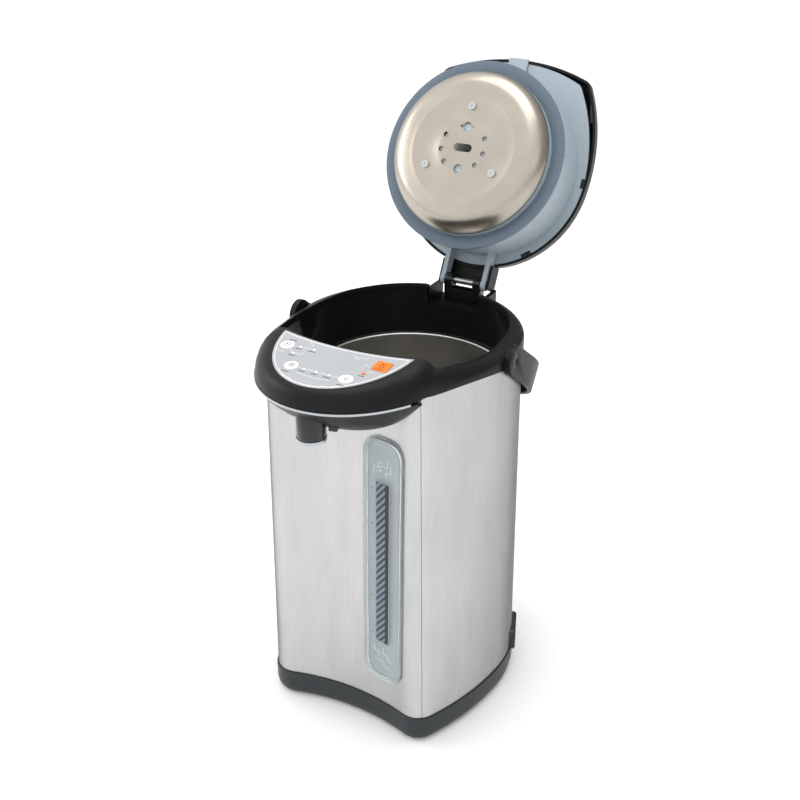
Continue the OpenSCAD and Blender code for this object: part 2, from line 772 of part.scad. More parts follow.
module nozzle() color(gloss_black) difference() {
  translate([0, -nozzle_y, nozzle_z + ring_h + fit]) tube(nozzle_r, nozzle_in, nozzle_h);
  box(-pipe_r - gap, pipe_r + gap, -nozzle_y, -nozzle_y + far, plug_z + plug_t, pipe_z + far);
}

module nozzle_ring() color(bright)
  translate([0, -nozzle_y, nozzle_z]) tube(nozzle_r + ring_proud, nozzle_in, ring_h);

module spout_pipe() color([0.85, 0.86, 0.84]) difference() {
  union() {
    spout_run(pipe_r, spout_start, spout_len);
    translate([0, -nozzle_y, pipe_z]) sphere(r = elbow_r, $fn = round_fn);
    translate([0, -nozzle_y, plug_z - plug_t]) rod(pipe_r, pipe_z - plug_z + plug_t);
    translate([0, -nozzle_y, plug_z]) rod(nozzle_in - fit, plug_t);
  }
  spout_run(side_bore_r, 0, spout_len);
  translate([0, -nozzle_y, nozzle_z]) rod(bore_r, pipe_z - nozzle_z + pipe_t);
}

// ---- key panel ----------------------------------------------------------------------------

// each key: x, y, half length, half width
key_len = 5.5;
key_wid = 5.1;
dispense_half = 6.3;
dispense_corner = 1.8;
dispense_key = [39.1, -103.3, dispense_half, dispense_half];
unlock_key = [-41.2, -103.7, key_len, key_wid];
reboil_key = [-22.1, -127.3, key_len, key_wid];
warm_key = [24.1, -127.9, key_len, key_wid];
keys = [dispense_key, unlock_key, reboil_key, warm_key];
key_proud = 0.5;
deck_t = wall;
key_gap = 0.25;

module key_shape(k, o, h) {
  e = k[2] - k[3];
  linear_extrude(h)
    if (e == 0) polygon(rounded(k[2] + o, k[3] + o, dispense_corner + o));
    else union() {
      for (s = [-1, 1]) translate([s * e, 0]) circle(r = k[3] + o, $fn = round_fn);
      translate([-e, -k[3] - o]) square([2 * e, 2 * (k[3] + o)]);
    }
}

module key_hole(k, h) translate([0, 0, -h]) key_shape(k, key_gap, 2 * h);

key_flange = 1.2;
key_drop = panel_t + gap + deck_t + gap;
module key_cap(k) on_panel(k[0], k[1]) {
  translate([0, 0, -key_drop - 0.1]) key_shape(k, 0, key_drop + 0.1 + key_proud);
  translate([0, 0, -key_drop - key_flange]) key_shape(k, key_flange, key_flange);
}

module dispense_button() color([0.95, 0.45, 0.12]) key_cap(dispense_key);
module unlock_button() color("white") key_cap(unlock_key);
module reboil_button() color("white") key_cap(reboil_key);
module warm_button() color("white") key_cap(warm_key);

led_at = [[-30.5, -102.2], [-19, -102], [-30.6, -111.6], [-11, -127.5], [-0.8, -127.5], [9.9, -127.9],
          [31.6, -116.8]];
led_r = 1.1;

module control_panel() color([0.8, 0.81, 0.82]) difference() {
  on_panel(0, -panel_y) translate([0, 0, -panel_t]) panel_shape(0, panel_t);
  for (k = keys) on_panel(k[0], k[1]) key_hole(k, 10);
  for (p = led_at) on_panel(p[0], p[1]) translate([0, 0, -10]) rod(led_r + 0.15, 20);
}

module indicator_leds() color([1, 1, 0.95]) for (p = led_at) on_panel(p[0], p[1])
  translate([0, 0, -panel_t - gap + 0.05]) rod(led_r, panel_t + gap);

board_drop = 9.5;
board_t = 1.6;
board_y = -114;
board_half = 49;
board_nose = 32;
board_len = 40;
board_screw_at = [[-44, board_y - 0.5], [42, board_y - 1.5]];
board_screw_r = 1.5;
boss_t = 1.7;
stem_r = 2;
module control_board() color(board_green) {
  difference() {
    on_panel(0, board_y) translate([0, 0, -board_drop - board_t]) linear_extrude(board_t) polygon([
      [-board_half, board_len / 2], [-board_half, board_len / 20], [-board_nose, -board_len / 2],
      [board_nose, -board_len / 2], [board_half, board_len / 20], [board_half, board_len / 2]
    ]);
    for (p = board_screw_at) on_panel(p[0], p[1]) translate([0, 0, -board_drop - 2 * board_t])
      rod(board_screw_r + fit, 3 * board_t);
  }
  for (k = keys) on_panel(k[0], k[1]) translate([0, 0, -board_drop - board_t / 2])
    rod(stem_r, board_t / 2 + board_drop - key_drop - key_flange - key_travel - gap);
}

screw_head_t = 1.4;
module board_screws() color("silver") for (p = board_screw_at) on_panel(p[0], p[1])
  translate([0, 0, -board_drop - board_t - fit])
    pan_screw(2.8, screw_head_t, board_screw_r, board_drop + board_t - key_drop + deck_t);

// ---- gauge ---------------------------------------------------------------------------------

slot_w = 12.6;
slot_from = 38.7;
slot_to = 37.7;
slot_z0 = gauge_z0 + slot_from;
slot_z1 = gauge_z1 - slot_to;
lens_step = 1.5;
lens_dish = 0.7;
tube_r = 4.5;
backing_t = 1.2;

module gauge_lens() color([0.75, 0.8, 0.86, 0.5]) on_gauge() difference() {
  union() {
    window(gauge_w, gauge_z0, gauge_z1, gauge_corner, -lens_proud, -lens_back);
    window(gauge_w - 2 * lens_rim, gauge_z0 + lens_rim, gauge_z1 - lens_rim, gauge_corner - lens_rim,
           -lens_back - fit, lens_in);
  }
  window(gauge_w - 2 * (lens_rim + lens_step), gauge_z0 + lens_rim + lens_step, gauge_z1 - lens_rim - lens_step,
         gauge_corner - lens_rim - lens_step, -lens_proud - 1, -lens_proud + lens_dish);
}

module gauge_backing() color([0.72, 0.74, 0.77]) on_gauge() difference() {
  window(gauge_w, gauge_z0, gauge_z1, gauge_corner, lens_in + gap, lens_in + gap + backing_t);
  translate([-0.2, 0, 0]) stadium(slot_w, slot_z0, slot_z1, -5, 20);
}

module gauge_tube() color([0.85, 0.9, 0.92, 0.5]) on_gauge()
  translate([0, gauge_tube_y, gauge_tube_z + gap])
    tube(tube_r, tube_r - 1, slot_z1 + 14 - gauge_tube_z);

module gauge_strip() color([0.3, 0.3, 0.32]) on_gauge()
  translate([0, gauge_tube_y + tube_r + gap, 0]) stadium(slot_w, slot_z0, slot_z1, 0, 0.8);

// ---- water pot and heating ---------------------------------------------------------------------

heel_r = 14;
module inner_pot() color([0.6, 0.58, 0.55]) translate([0, pot_y, 0]) rotate_extrude($fn = 120)
  polygon(concat(
    [[0, pot_floor - pot_t], [pot_out - heel_r, pot_floor - pot_t]],
    [for (a = [-75 : 15 : 0]) [pot_out - heel_r + heel_r * cos(a), pot_floor - pot_t + heel_r + heel_r * sin(a)]],
    [[pot_out, mouth_z - bead_r]],
    [for (a = [-75 : 15 : 180]) [bead_c + bead_r * cos(a), mouth_z + bead_r * sin(a)]],
    [for (a = [0 : -15 : -90]) [pot_r - heel_r + heel_r * cos(a), pot_floor + heel_r + heel_r * sin(a)]],
    [[0, pot_floor]]
  ));

module pot_gasket() color([0.85, 0.85, 0.82]) translate([0, pot_y, liner_foot + liner_t + 0.1])
  tube(liner_r - 0.15, pot_out + 0.15, mouth_z - bead_r - liner_foot - liner_t - 0.35);

heater_r = 52;
heater_t = 4;
heater_z = pot_floor - pot_t - gap - heater_t;
shield_t = 1;
shield_z = heater_z - 12;
shield_r = 70;
hose_y = -34;

module heater_plate() color([0.65, 0.62, 0.55]) translate([0, pot_y, heater_z]) difference() {
  rod(heater_r, heater_t);
  translate([0, hose_y - pot_y, -1]) rod(pipe_r + 3, heater_t + 2);
}

// pressed steel dish that carries the pot's foot on the posts of the bottom cover
cuff_r = pot_out + gap;
cuff_z = pot_floor + heel_r * 0.6;
cuff_h = 8;
module heat_shield() color([0.7, 0.7, 0.72]) difference() {
  translate([0, pot_y, 0]) rotate_extrude($fn = 96) polygon([
    [0, shield_z], [shield_r, shield_z], [cuff_r + shield_t, cuff_z],
    [cuff_r + shield_t, cuff_z + cuff_h], [cuff_r, cuff_z + cuff_h], [cuff_r, cuff_z],
    [shield_r - shield_t / 2, shield_z + shield_t], [0, shield_z + shield_t]
  ]);
  translate([0, hose_y, shield_z - 1]) rod(pipe_r + 3, shield_t + 2);
}

stat_h = heater_z - shield_z - shield_t - 2 * gap;
module thermostats() color(brass) for (x = [-22, 22])
  translate([x, pot_y + 14, heater_z - gap - stat_h]) rod(8, stat_h);

module thermal_fuse() color([0.8, 0.8, 0.78])
  translate([-14, pot_y + 32, heater_z - gap - 4]) rotate([0, 90, 0]) rod(4, 28);

// ---- pump -----------------------------------------------------------------------------------------

pump_y = hose_y;
pump_r = 21;
pump_z = 38;
pump_h = 14;
impeller_r = 15;
shaft_r = 1.5;

module pump_housing() color([0.85, 0.85, 0.82]) translate([0, pump_y, pump_z]) {
  difference() {
    rod(pump_r, pump_h);
    translate([0, 0, 3]) rod(impeller_r + 1.5, pump_h - 5);
    translate([0, 0, -1]) rod(shaft_r + fit, 6);
    translate([0, 0, pump_h - 3]) rod(pipe_r - 1.2, 10);
    translate([0, 0, pump_h / 2 + 0.5]) rotate([90, 0, 0]) rod(pipe_r - 1.4, pump_r + 1);
  }
}

module pump_impeller() color([0.3, 0.3, 0.32]) translate([0, pump_y, pump_z]) {
  translate([0, 0, 3.4]) rod(impeller_r, 1.6);
  for (a = [0 : 60 : 300]) rotate(a) box(4, impeller_r - 0.5, -0.6, 0.6, 4.9, pump_h - 3);
  translate([0, 0, -12]) rod(shaft_r, 16);
}

motor_r = 15;
module pump_motor() color([0.72, 0.72, 0.7]) {
  translate([0, pump_y, bottom_z + cover_t + gap]) difference() {
    rod(motor_r, pump_z - bottom_z - cover_t - 2 * gap);
    translate([0, 0, 16]) rod(shaft_r + fit, 40);
  }
}

manifold_z = pump_z + pump_h / 2 + 0.5;
socket_wall = 1.2;
gauge_tube_y = lens_in + 2 * gap + backing_t + tube_r + socket_wall;
gauge_tube_z = slot_z0 - 20;

// place of a point on the gauge's middle plane: y inwards, z along the sheet
function gauge_point(y, z) =
  let (d = y * cos(gauge_lean) + (z - shell_z) * sin(gauge_lean))
    [gauge_x - d * sin(gauge_turn), gauge_y + d * cos(gauge_turn)];
gauge_foot = gauge_point(gauge_tube_y, manifold_z);
branch = gauge_foot - [0, riser_y];
riser_top = spout_low + pipe_r;

riser_foot = manifold_z + pipe_r + 6;

module branch_pipe(r) translate([0, riser_y, manifold_z]) rotate([0, 0, atan2(branch[1], branch[0])])
  rotate([0, 90, 0]) rod(r, norm(branch));

module manifold() color([0.85, 0.86, 0.84]) difference() {
  union() {
    translate([0, riser_y, manifold_z]) rotate([-90, 0, 0])
      rod(pipe_r, pump_y - pump_r - gap - riser_y);
    translate([0, riser_y, manifold_z - pipe_r - socket_wall])
      rod(pipe_r + socket_wall, riser_foot - manifold_z + pipe_r + socket_wall + 4);
    branch_pipe(pipe_r - 0.5);
    on_gauge() translate([0, gauge_tube_y, manifold_z - pipe_r - 1])
      rod(tube_r + socket_wall, gauge_tube_z - manifold_z + pipe_r + 6);
  }
  translate([0, riser_y, manifold_z]) rotate([-90, 0, 0]) rod(bore_r, 60);
  translate([0, riser_y, manifold_z]) rod(bore_r, 40);
  translate([0, riser_y, riser_foot]) rod(pipe_r + fit, 40);
  branch_pipe(bore_r - 0.6);
  on_gauge() translate([0, gauge_tube_y, manifold_z]) rod(tube_r - 1, 60);
  on_gauge() translate([0, gauge_tube_y, gauge_tube_z]) rod(tube_r + fit, 60);
}

module riser_tube() color([0.9, 0.9, 0.9]) difference() {
  translate([0, riser_y, riser_foot + gap]) rod(pipe_r, riser_top - riser_foot - gap);
  translate([0, riser_y, manifold_z]) rod(bore_r, spout_low - manifold_z + pipe_t);
  spout_run(side_bore_r, 0, far);
}

module suction_hose() color([0.9, 0.9, 0.88]) translate([0, pump_y, pump_z + pump_h + gap])
  tube(pipe_r, pipe_r - 1.2, pot_floor - pot_t - gap - pump_z - pump_h - gap);

// ---- power ---------------------------------------------------------------------------------------

module power_board() color(board_green) translate([0, 45, bottom_z + cover_t + gap]) {
  difference() {
    box(-40, 40, -28, 28, 5, 5 + board_t);
    for (x = [-35, 35], y = [-23, 23]) translate([x, y, 0]) rod(1.6, 10);
  }
  for (x = [-35, 35], y = [-23, 23]) translate([x, y, 0]) tube(3.4, 1.6, 5.05);
  box(-26, -4, -16, 10, 5, 30);
  translate([16, -8, 5]) rod(8, 26);
  box(8, 30, 6, 20, 5, 22);
}

inlet_turn = 22;
inlet_z0 = 22;
inlet_z1 = 42;
inlet_mid = (inlet_z0 + inlet_z1) / 2;
inlet_w = 34;
inlet_corner = 4;
inlet_wall = 3.2;
inlet_deep = 9;
inlet_proud = 2.4;
inlet_out = back_r + flare + base_proud + inlet_proud;
inlet_in = back_r - 10;
pin_half = 6;
pin_r = 2;
pin_tail = 4;

module inlet_frame() rotate([0, 0, inlet_turn]) children();
// rounded block along x, from x0 to x1
module inlet_block(o, x0 = inlet_in - far, x1 = inlet_out + far) translate([x0, 0, inlet_mid])
  rotate([90, 0, 90]) linear_extrude(x1 - x0)
    polygon(rounded(inlet_w / 2 + o, (inlet_z1 - inlet_z0) / 2 + o, inlet_corner + o));

module power_inlet() color(gloss_black) inlet_frame() difference() {
  union() {
    inlet_block(0, inlet_in, inlet_out - 1);
    inlet_block(-1, inlet_in + 1, inlet_out);
  }
  inlet_block(-inlet_wall, inlet_out - inlet_deep);
  for (y = [-pin_half, pin_half]) translate([0, y, inlet_mid]) rod_x(pin_r + fit, inlet_in - 1, inlet_out);
}

module inlet_pins() color(copper) inlet_frame() for (y = [-pin_half, pin_half])
  translate([0, y, inlet_mid]) rod_x(pin_r, inlet_in - pin_tail, inlet_out - pin_tail);

// ---- hinge -----------------------------------------------------------------------------------------

post_w = 17;
prong_w = 7;
eye_r = 5.5;

module at_hinge() translate([0, hinge_y, hinge_z]) children();

module hinge_post() color(gloss_black) difference() {
  union() {
    box(-post_w, post_w, hinge_y - eye_r, hinge_y + eye_r - 1, notch_z + gap, hinge_z - 7);
    both_sides() {
      box(post_w - prong_w, post_w, hinge_y - eye_r, hinge_y + eye_r - 1, hinge_z - 7.1, hinge_z);
      at_hinge() rod_x(eye_r, post_w - prong_w, post_w);
    }
  }
  at_hinge() rod_x(hinge_pin_r + fit, -post_w - 5, post_w + 5);
}

ear_in = post_w + 0.5;
ear_t = 3.8;
tail_in = ear_in + ear_t + gap;
tail_w = notch_w - 0.7;
tail_lap = 2.2;

module hinge_pin() color(bright) at_hinge() rod_x(hinge_pin_r, -ear_in - ear_t + 0.3, ear_in + ear_t - 0.3);

// ---- lid, drawn closed and turned open ----------------------------------------------------------------

// outline of the lid drawn in towards its middle
function shrunk(o, s) = [for (p = lid_line(o)) p * s];
lid_r = opening_r + lid_over;

lever_y0 = -83;
lever_y1 = -57;
lever_w = 18;
grip_y0 = lever_y0 - 1.6;
grip_y1 = -47;
pocket_wall = 2.5;
side_gap = 0.5;
lever_pin_y = -79.5;
lever_pin_z = lid_z + lid_h - 6.4;
pocket_z = lid_z + lid_h - 10.4;

module dome(o, drop) loft([
  lift(lid_line(o), lid_z - (drop > 0 ? 1 : 0)),
  lift(lid_line(o), lid_z + lid_h * 0.55 - drop * 0.2),
  lift(lid_line(o - 1.2), lid_z + lid_h * 0.72 - drop * 0.4),
  lift(shrunk(o, 0.94), lid_z + lid_h * 0.84 - drop * 0.7),
  lift(shrunk(o, 0.84), lid_z + lid_h * 0.92 - drop),
  lift(shrunk(o, 0.6), lid_z + lid_h * 0.98 - drop),
  lift(shrunk(o, 0.3), lid_z + lid_h - drop)
]);

vent_w = 12;
module lid_cover() color(charcoal) open_lid() difference() {
  union() {
    difference() {
      dome(0, 0);
      dome(-lid_t, lid_t);
    }
    intersection() {
      dome(-0.5, 0.5);
      box(-lever_w - pocket_wall - side_gap, lever_w + pocket_wall + side_gap, grip_y0 - pocket_wall,
          grip_y1 + pocket_wall, pocket_z - lid_t, lid_z + 40);
    }
    box(-tail_w, tail_w, pot_y + lid_r - tail_lap, hinge_y + 2, lid_z + 4, lid_z + 6.5);
    both_sides() box(tail_in, tail_w, pot_y + lid_r - tail_lap - 0.5, hinge_y + 4, lid_z - 8, lid_z + 6.5);
  }
  box(-lever_w - side_gap, lever_w + side_gap, grip_y0, grip_y1, pocket_z, lid_z + 40);
  translate([0, lever_pin_y, lever_pin_z]) rod_x(lever_pin_r + fit, -lever_w - 2.5, lever_w + 2.5);
  box(-4.5, 4.5, lever_pin_y - 5, lever_pin_y + 7, pocket_z - 5, pocket_z + 1);
  box(-latch_w - gap, latch_w + gap, -110, latch_y1 + latch_travel + 1, latch_z - gap, latch_z + latch_t + gap);
  for (x = [-vent_w : 4 : vent_w]) translate([x, pot_y, lid_z + 5]) box(-0.9, 0.9, -5, 5, 0, 30);
}

flange_z = lid_z + 0.6;
flange_t = 2;
cup_r = pan_r + 6.9;
neck_r = pan_r + 0.4;
cup_floor = mouth_z + 12;
cup_t = 2;
screw_at = 35;
duct_r = 9.5;
duct_in = 8;
screw_turns = [30, 150, 270];
// the flange is drawn in at the lid's front corners
flange_k = [56, -68];
function flange_line() = outline(pot_y, lid_r, lid_side_r, flange_k, opening_kr, opening_front - lid_gap,
                                 -lid_t - gap);

module lid_liner() color([0.62, 0.7, 0.76]) open_lid() difference() {
  union() {
    translate([0, 0, flange_z]) linear_extrude(flange_t) difference() {
      polygon(flange_line());
      polygon(pot_circle(cup_r - cup_t / 2, lid_line(0)));
    }
    translate([0, pot_y, 0]) rotate_extrude($fn = 120) polygon([
      [duct_r + gap, cup_floor], [neck_r - cup_t, cup_floor], [neck_r - cup_t, pan_rim + gap],
      [neck_r, pan_rim + gap], [neck_r, cup_floor], [cup_r - 1, cup_floor], [cup_r, flange_z],
      [cup_r, flange_z + flange_t], [cup_r - cup_t, flange_z + flange_t],
      [cup_r - cup_t - 1, cup_floor + cup_t], [duct_r + gap, cup_floor + cup_t]
    ]);
    for (a = screw_turns) translate([0, pot_y, 0]) rotate(a) translate([screw_at, 0, plate_z + disc_rise + pan_t + gap])
      rod(4, cup_floor - plate_z);
    both_sides() {
      box(ear_in, ear_in + ear_t, pot_y + cup_r - 6, hinge_y, hinge_z - eye_r * 0.8, lid_z - gap);
      at_hinge() rod_x(eye_r, ear_in, ear_in + ear_t);
    }
  }
  at_hinge() rod_x(hinge_pin_r + fit, -notch_w, notch_w);
  for (a = screw_turns) translate([0, pot_y, 0]) rotate(a) translate([screw_at, 0, plate_z - 1]) rod(1.5 + fit, 12);
  box(-lever_w - pocket_wall - side_gap - gap, lever_w + pocket_wall + side_gap + gap, -110,
      grip_y1 + pocket_wall + gap, pocket_z - lid_t - gap, lid_z + 20);
  box(-latch_w - gap, latch_w + gap, -110, latch_y1 + latch_travel + 1, latch_z - gap, lid_z + 20);
}

gasket_r = 79.8;
module lid_gasket() color([0.44, 0.51, 0.6]) open_lid() translate([0, pot_y, 0]) rotate_extrude($fn = 120)
  polygon([
    [neck_r + 0.1, cup_floor - 0.1], [neck_r + 0.1, cup_floor - 9], [neck_r + 3, mouth_z + 2.6],
    [gasket_r - 3, mouth_z + 1.6], [gasket_r, mouth_z + 1.9], [gasket_r, mouth_z + 5],
    [gasket_r - 1.4, cup_floor - 4], [cup_r, cup_floor - 0.1]
  ]);

// pressed pan: rim, rounded wall, shoulder, flat face with a raised ring and centre
pan_t = 0.8;
disc_rise = 0.6;
pan_nominal = 69.1;
pan_line = [
  [0, 0], [22.6, 0], [24.6, disc_rise], [44.5, disc_rise], [45.5, 0.3], [46.5, disc_rise], [50.5, disc_rise],
  [52, 0.9], [55, 1.1], [58, 1.9], [61, 3.4], [63.8, 5.6], [66.2, 8.6], [68, 12], [pan_nominal, 14.5]
];
module pan_wall() translate([0, pot_y, plate_z]) rotate_extrude($fn = 120) polygon(concat(
  [for (p = pan_line) [p[0] * pan_r / pan_nominal, p[1]]],
  [[pan_r, pan_h], [pan_r - pan_t, pan_h]],
  [for (i = [len(pan_line) - 1 : -1 : 0]) let (p = pan_line[i])
    [max(0, p[0] * pan_r / pan_nominal - pan_t * (p[1] > 2 ? 1 : 0.1)), p[1] + pan_t * (p[1] > 8 ? 0.2 : 1)]]
));

ring_hole_r = 2.2;
slot_r = 3.3;
ring_hole_at = [[17.5, -9.3], [-17.5, -9.3], [19, 3], [-19, 3], [14, 13], [-14, 13]];
module lid_plate() color([0.75, 0.72, 0.68]) open_lid() difference() {
  pan_wall();
  translate([0, pot_y, plate_z - 5]) {
    for (x = [-4.9, 4.9]) translate([x, 0, 0]) rod(slot_r, 12);
    box(-4.9, 4.9, -slot_r, slot_r, 0, 12);
    translate([0, 17.7, 0]) rod(3.8, 12);
    translate([0, -17.7, 0]) rod(3.8, 12);
    translate([-6, -18.8, 0]) cube([12, 2.2, 12]);
    for (p = ring_hole_at) translate([p[0], p[1], 0]) rod(ring_hole_r, 12);
    for (a = screw_turns) rotate(a) translate([screw_at, 0, 0]) rod(1.8, 12);
  }
}

module plate_screws() color("silver") open_lid() for (a = screw_turns)
  translate([0, pot_y, 0]) rotate(a) translate([screw_at, 0, plate_z + disc_rise - 0.1]) pan_screw(3.2, 1.4, 1.5, 10);

module steam_duct() color([0.85, 0.86, 0.85]) open_lid() translate([0, pot_y, plate_z + 2])
  tube(duct_r, duct_in, lid_z + lid_h - lid_t - plate_z - 2 - gap - 0.3);

latch_w = 9;
latch_t = 2.4;
latch_z = pocket_z - lid_t - latch_t - gap;
latch_travel = 2.5;
latch_y0 = -opening_front + 0.4;
latch_y1 = -66;
lever_pin_r = 1.5;
lever_t = 2.8;
barrel_r = 3;
lug_w = 3;
lug_play = 0.5;
coil_x = [4.6, 9.4];

// pressing the rear edge up turns the lever on the pin in front, and its lug
// draws the latch back
module lid_lever() color(gloss_black) open_lid() difference() {
  union() {
    box(-lever_w, lever_w, lever_y0, lever_y1, lid_z + lid_h - 1.6 - lever_t, lid_z + lid_h - 1.6);
    translate([0, lever_pin_y, lever_pin_z]) rod_x(barrel_r, -lever_w, lever_w);
    box(-lug_w, lug_w, lever_pin_y - 1, lever_pin_y + 2, latch_z + 0.4, lever_pin_z);
  }
  translate([0, lever_pin_y, lever_pin_z]) {
    rod_x(lever_pin_r + fit, -lever_w - 5, lever_w + 5);
    rod_x(barrel_r + 0.2, coil_x[0] - gap, coil_x[1] + gap);
    box(coil_x[1] - 1.5 * wire - gap, coil_x[1] - wire / 2 + gap, 0, leg_len + gap, 0, coil_r + wire + gap);
  }
}

module lever_pin() color("silver") open_lid() translate([0, lever_pin_y, lever_pin_z])
  rod_x(lever_pin_r, -lever_w - 2, lever_w + 2);

module lid_latch() color([0.3, 0.32, 0.33]) open_lid() difference() {
  box(-latch_w, latch_w, latch_y0, latch_y1, latch_z, latch_z + latch_t);
  box(-lug_w - gap, lug_w + gap, lever_pin_y - 1 - lug_play, lever_pin_y + 2 + lug_play, latch_z - 1,
      latch_z + latch_t + 1);
}

// torsion coil on the lever's pin, its turns side by side, with its two legs
coil_r = 1.85;
wire = 0.8;
n_turns = 6;
leg_len = 7;
module lever_spring() color("silver") open_lid() translate([0, lever_pin_y, lever_pin_z]) {
  turn = (coil_x[1] - coil_x[0]) / n_turns;
  translate([coil_x[0], 0, 0]) rotate([0, 90, 0]) rotate_extrude($fn = round_fn) polygon(concat(
    [[coil_r, 0]],
    [for (k = [0 : n_turns - 1]) each [[coil_r + wire * 0.6, turn * k],
      [coil_r + wire, turn * (k + 0.3)], [coil_r + wire, turn * (k + 0.7)]]],
    [[coil_r + wire * 0.6, turn * n_turns], [coil_r, turn * n_turns]]
  ));
  translate([coil_x[0] + wire, -coil_r - wire / 2, pocket_z - lever_pin_z + fit])
    rod(wire / 2, lever_pin_z - pocket_z);
  translate([coil_x[1] - wire, 0, coil_r + wire / 2]) rotate([-90, 0, 0]) rod(wire / 2, leg_len);
}

// ---- handle ---------------------------------------------------------------------------------------------

strap_in = back_r + edge_t + 2 * gap;
bail_arm = 34;
module bail_place() translate([0, -bail_y, bail_z]) rotate([-bail_rest, 0, 0]) children();

module bail_handle() color(charcoal) bail_place() difference() {
  union() {
    translate([0, 0, -bail_w / 2]) linear_extrude(bail_w) difference() {
      union() {
        translate([0, bail_arm]) circle(r = strap_in + bail_t, $fn = 180);
        translate([-strap_in - bail_t, 0]) square([2 * (strap_in + bail_t), bail_arm]);
      }
      translate([0, bail_arm]) circle(r = strap_in, $fn = 180);
      translate([-strap_in, -1]) square([2 * strap_in, bail_arm + 1]);
      translate([-200, -400]) square([400, 400]);
    }
    both_sides() rod_x(bail_w / 2, strap_in, strap_in + bail_t);
  }
  both_sides() {
    rod_x(pivot_r + fit, strap_in - 1, strap_in + bail_t - 1);
    translate([strap_in + bail_t + 5, 0, 0]) sphere(r = 6, $fn = round_fn);
  }
}

module handle_bosses() color(gloss_black) at_pivots() {
  rod_x(socket_r, socket_x + gap, strap_in - gap);
  rod_x(pivot_r, strap_in - gap - fit, strap_in + bail_t - 1.2);
}

base_housing();
bottom_cover();
rubber_feet();
base_screws();
front_panel();
rear_shell();
collar();
collar_liner();
spout_chin();
chrome_trim();
nozzle();
nozzle_ring();
spout_pipe();
riser_tube();
manifold();
suction_hose();
control_panel();
dispense_button();
unlock_button();
reboil_button();
warm_button();
indicator_leds();
control_board();
board_screws();
gauge_lens();
gauge_backing();
gauge_tube();
gauge_strip();
inner_pot();
pot_gasket();
heat_shield();
heater_plate();
thermostats();
thermal_fuse();
pump_housing();
pump_impeller();
pump_motor();
power_board();
power_inlet();
inlet_pins();
hinge_post();
hinge_pin();
lid_cover();
lid_liner();
lid_gasket();
lid_plate();
plate_screws();
lid_lever();
lever_pin();
lid_latch();
lever_spring();
steam_duct();
bail_handle();
handle_bosses();
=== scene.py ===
import json
import math
import bpy
from mathutils import Matrix, Vector

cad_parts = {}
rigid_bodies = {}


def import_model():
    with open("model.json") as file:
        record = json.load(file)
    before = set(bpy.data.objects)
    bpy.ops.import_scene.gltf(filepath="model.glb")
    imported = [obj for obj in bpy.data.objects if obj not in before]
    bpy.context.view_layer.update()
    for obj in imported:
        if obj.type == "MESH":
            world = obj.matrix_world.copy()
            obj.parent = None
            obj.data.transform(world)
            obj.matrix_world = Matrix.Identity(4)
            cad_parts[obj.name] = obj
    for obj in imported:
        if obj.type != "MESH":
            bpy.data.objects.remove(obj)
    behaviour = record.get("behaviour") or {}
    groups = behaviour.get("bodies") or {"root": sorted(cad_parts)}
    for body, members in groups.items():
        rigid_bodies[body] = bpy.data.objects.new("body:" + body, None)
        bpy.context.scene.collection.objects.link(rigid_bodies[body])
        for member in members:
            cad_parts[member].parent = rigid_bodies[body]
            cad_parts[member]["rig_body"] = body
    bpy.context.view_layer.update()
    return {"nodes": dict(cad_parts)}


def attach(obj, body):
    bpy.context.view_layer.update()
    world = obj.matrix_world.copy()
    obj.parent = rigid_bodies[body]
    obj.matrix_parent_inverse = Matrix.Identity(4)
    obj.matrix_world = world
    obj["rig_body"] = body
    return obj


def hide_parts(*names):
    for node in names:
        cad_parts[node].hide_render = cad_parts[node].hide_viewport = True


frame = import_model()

nodes = frame["nodes"]
lidOpen = 118.1  # degrees from shut, as drawn
potAxis = 0.009  # behind the origin, in metres


# hex colour, as the shader wants it
def toLinear(hexColour):
    parts = [int(hexColour[i:i + 2], 16) / 255 for i in (1, 3, 5)]
    return tuple(c / 12.92 if c <= 0.04045 else ((c + 0.055) / 1.055) ** 2.4 for c in parts) + (1.0,)


# adds one node; values go to its sockets, a socket as value is linked
def addNode(tree, kind, values=None, **settings):
    node = tree.nodes.new(kind)
    for name, value in settings.items():
        setattr(node, name, value)
    for key, value in (values or {}).items():
        if isinstance(value, bpy.types.NodeSocket):
            tree.links.new(value, node.inputs[key])
        else:
            node.inputs[key].default_value = value
    return node


# empty material with the piece's own coordinates, in metres
def newFinish(name):
    finish = bpy.data.materials.new(name)
    finish.use_nodes = True
    finish.node_tree.nodes.clear()
    return finish, finish.node_tree, addNode(finish.node_tree, "ShaderNodeTexCoord").outputs["Object"]


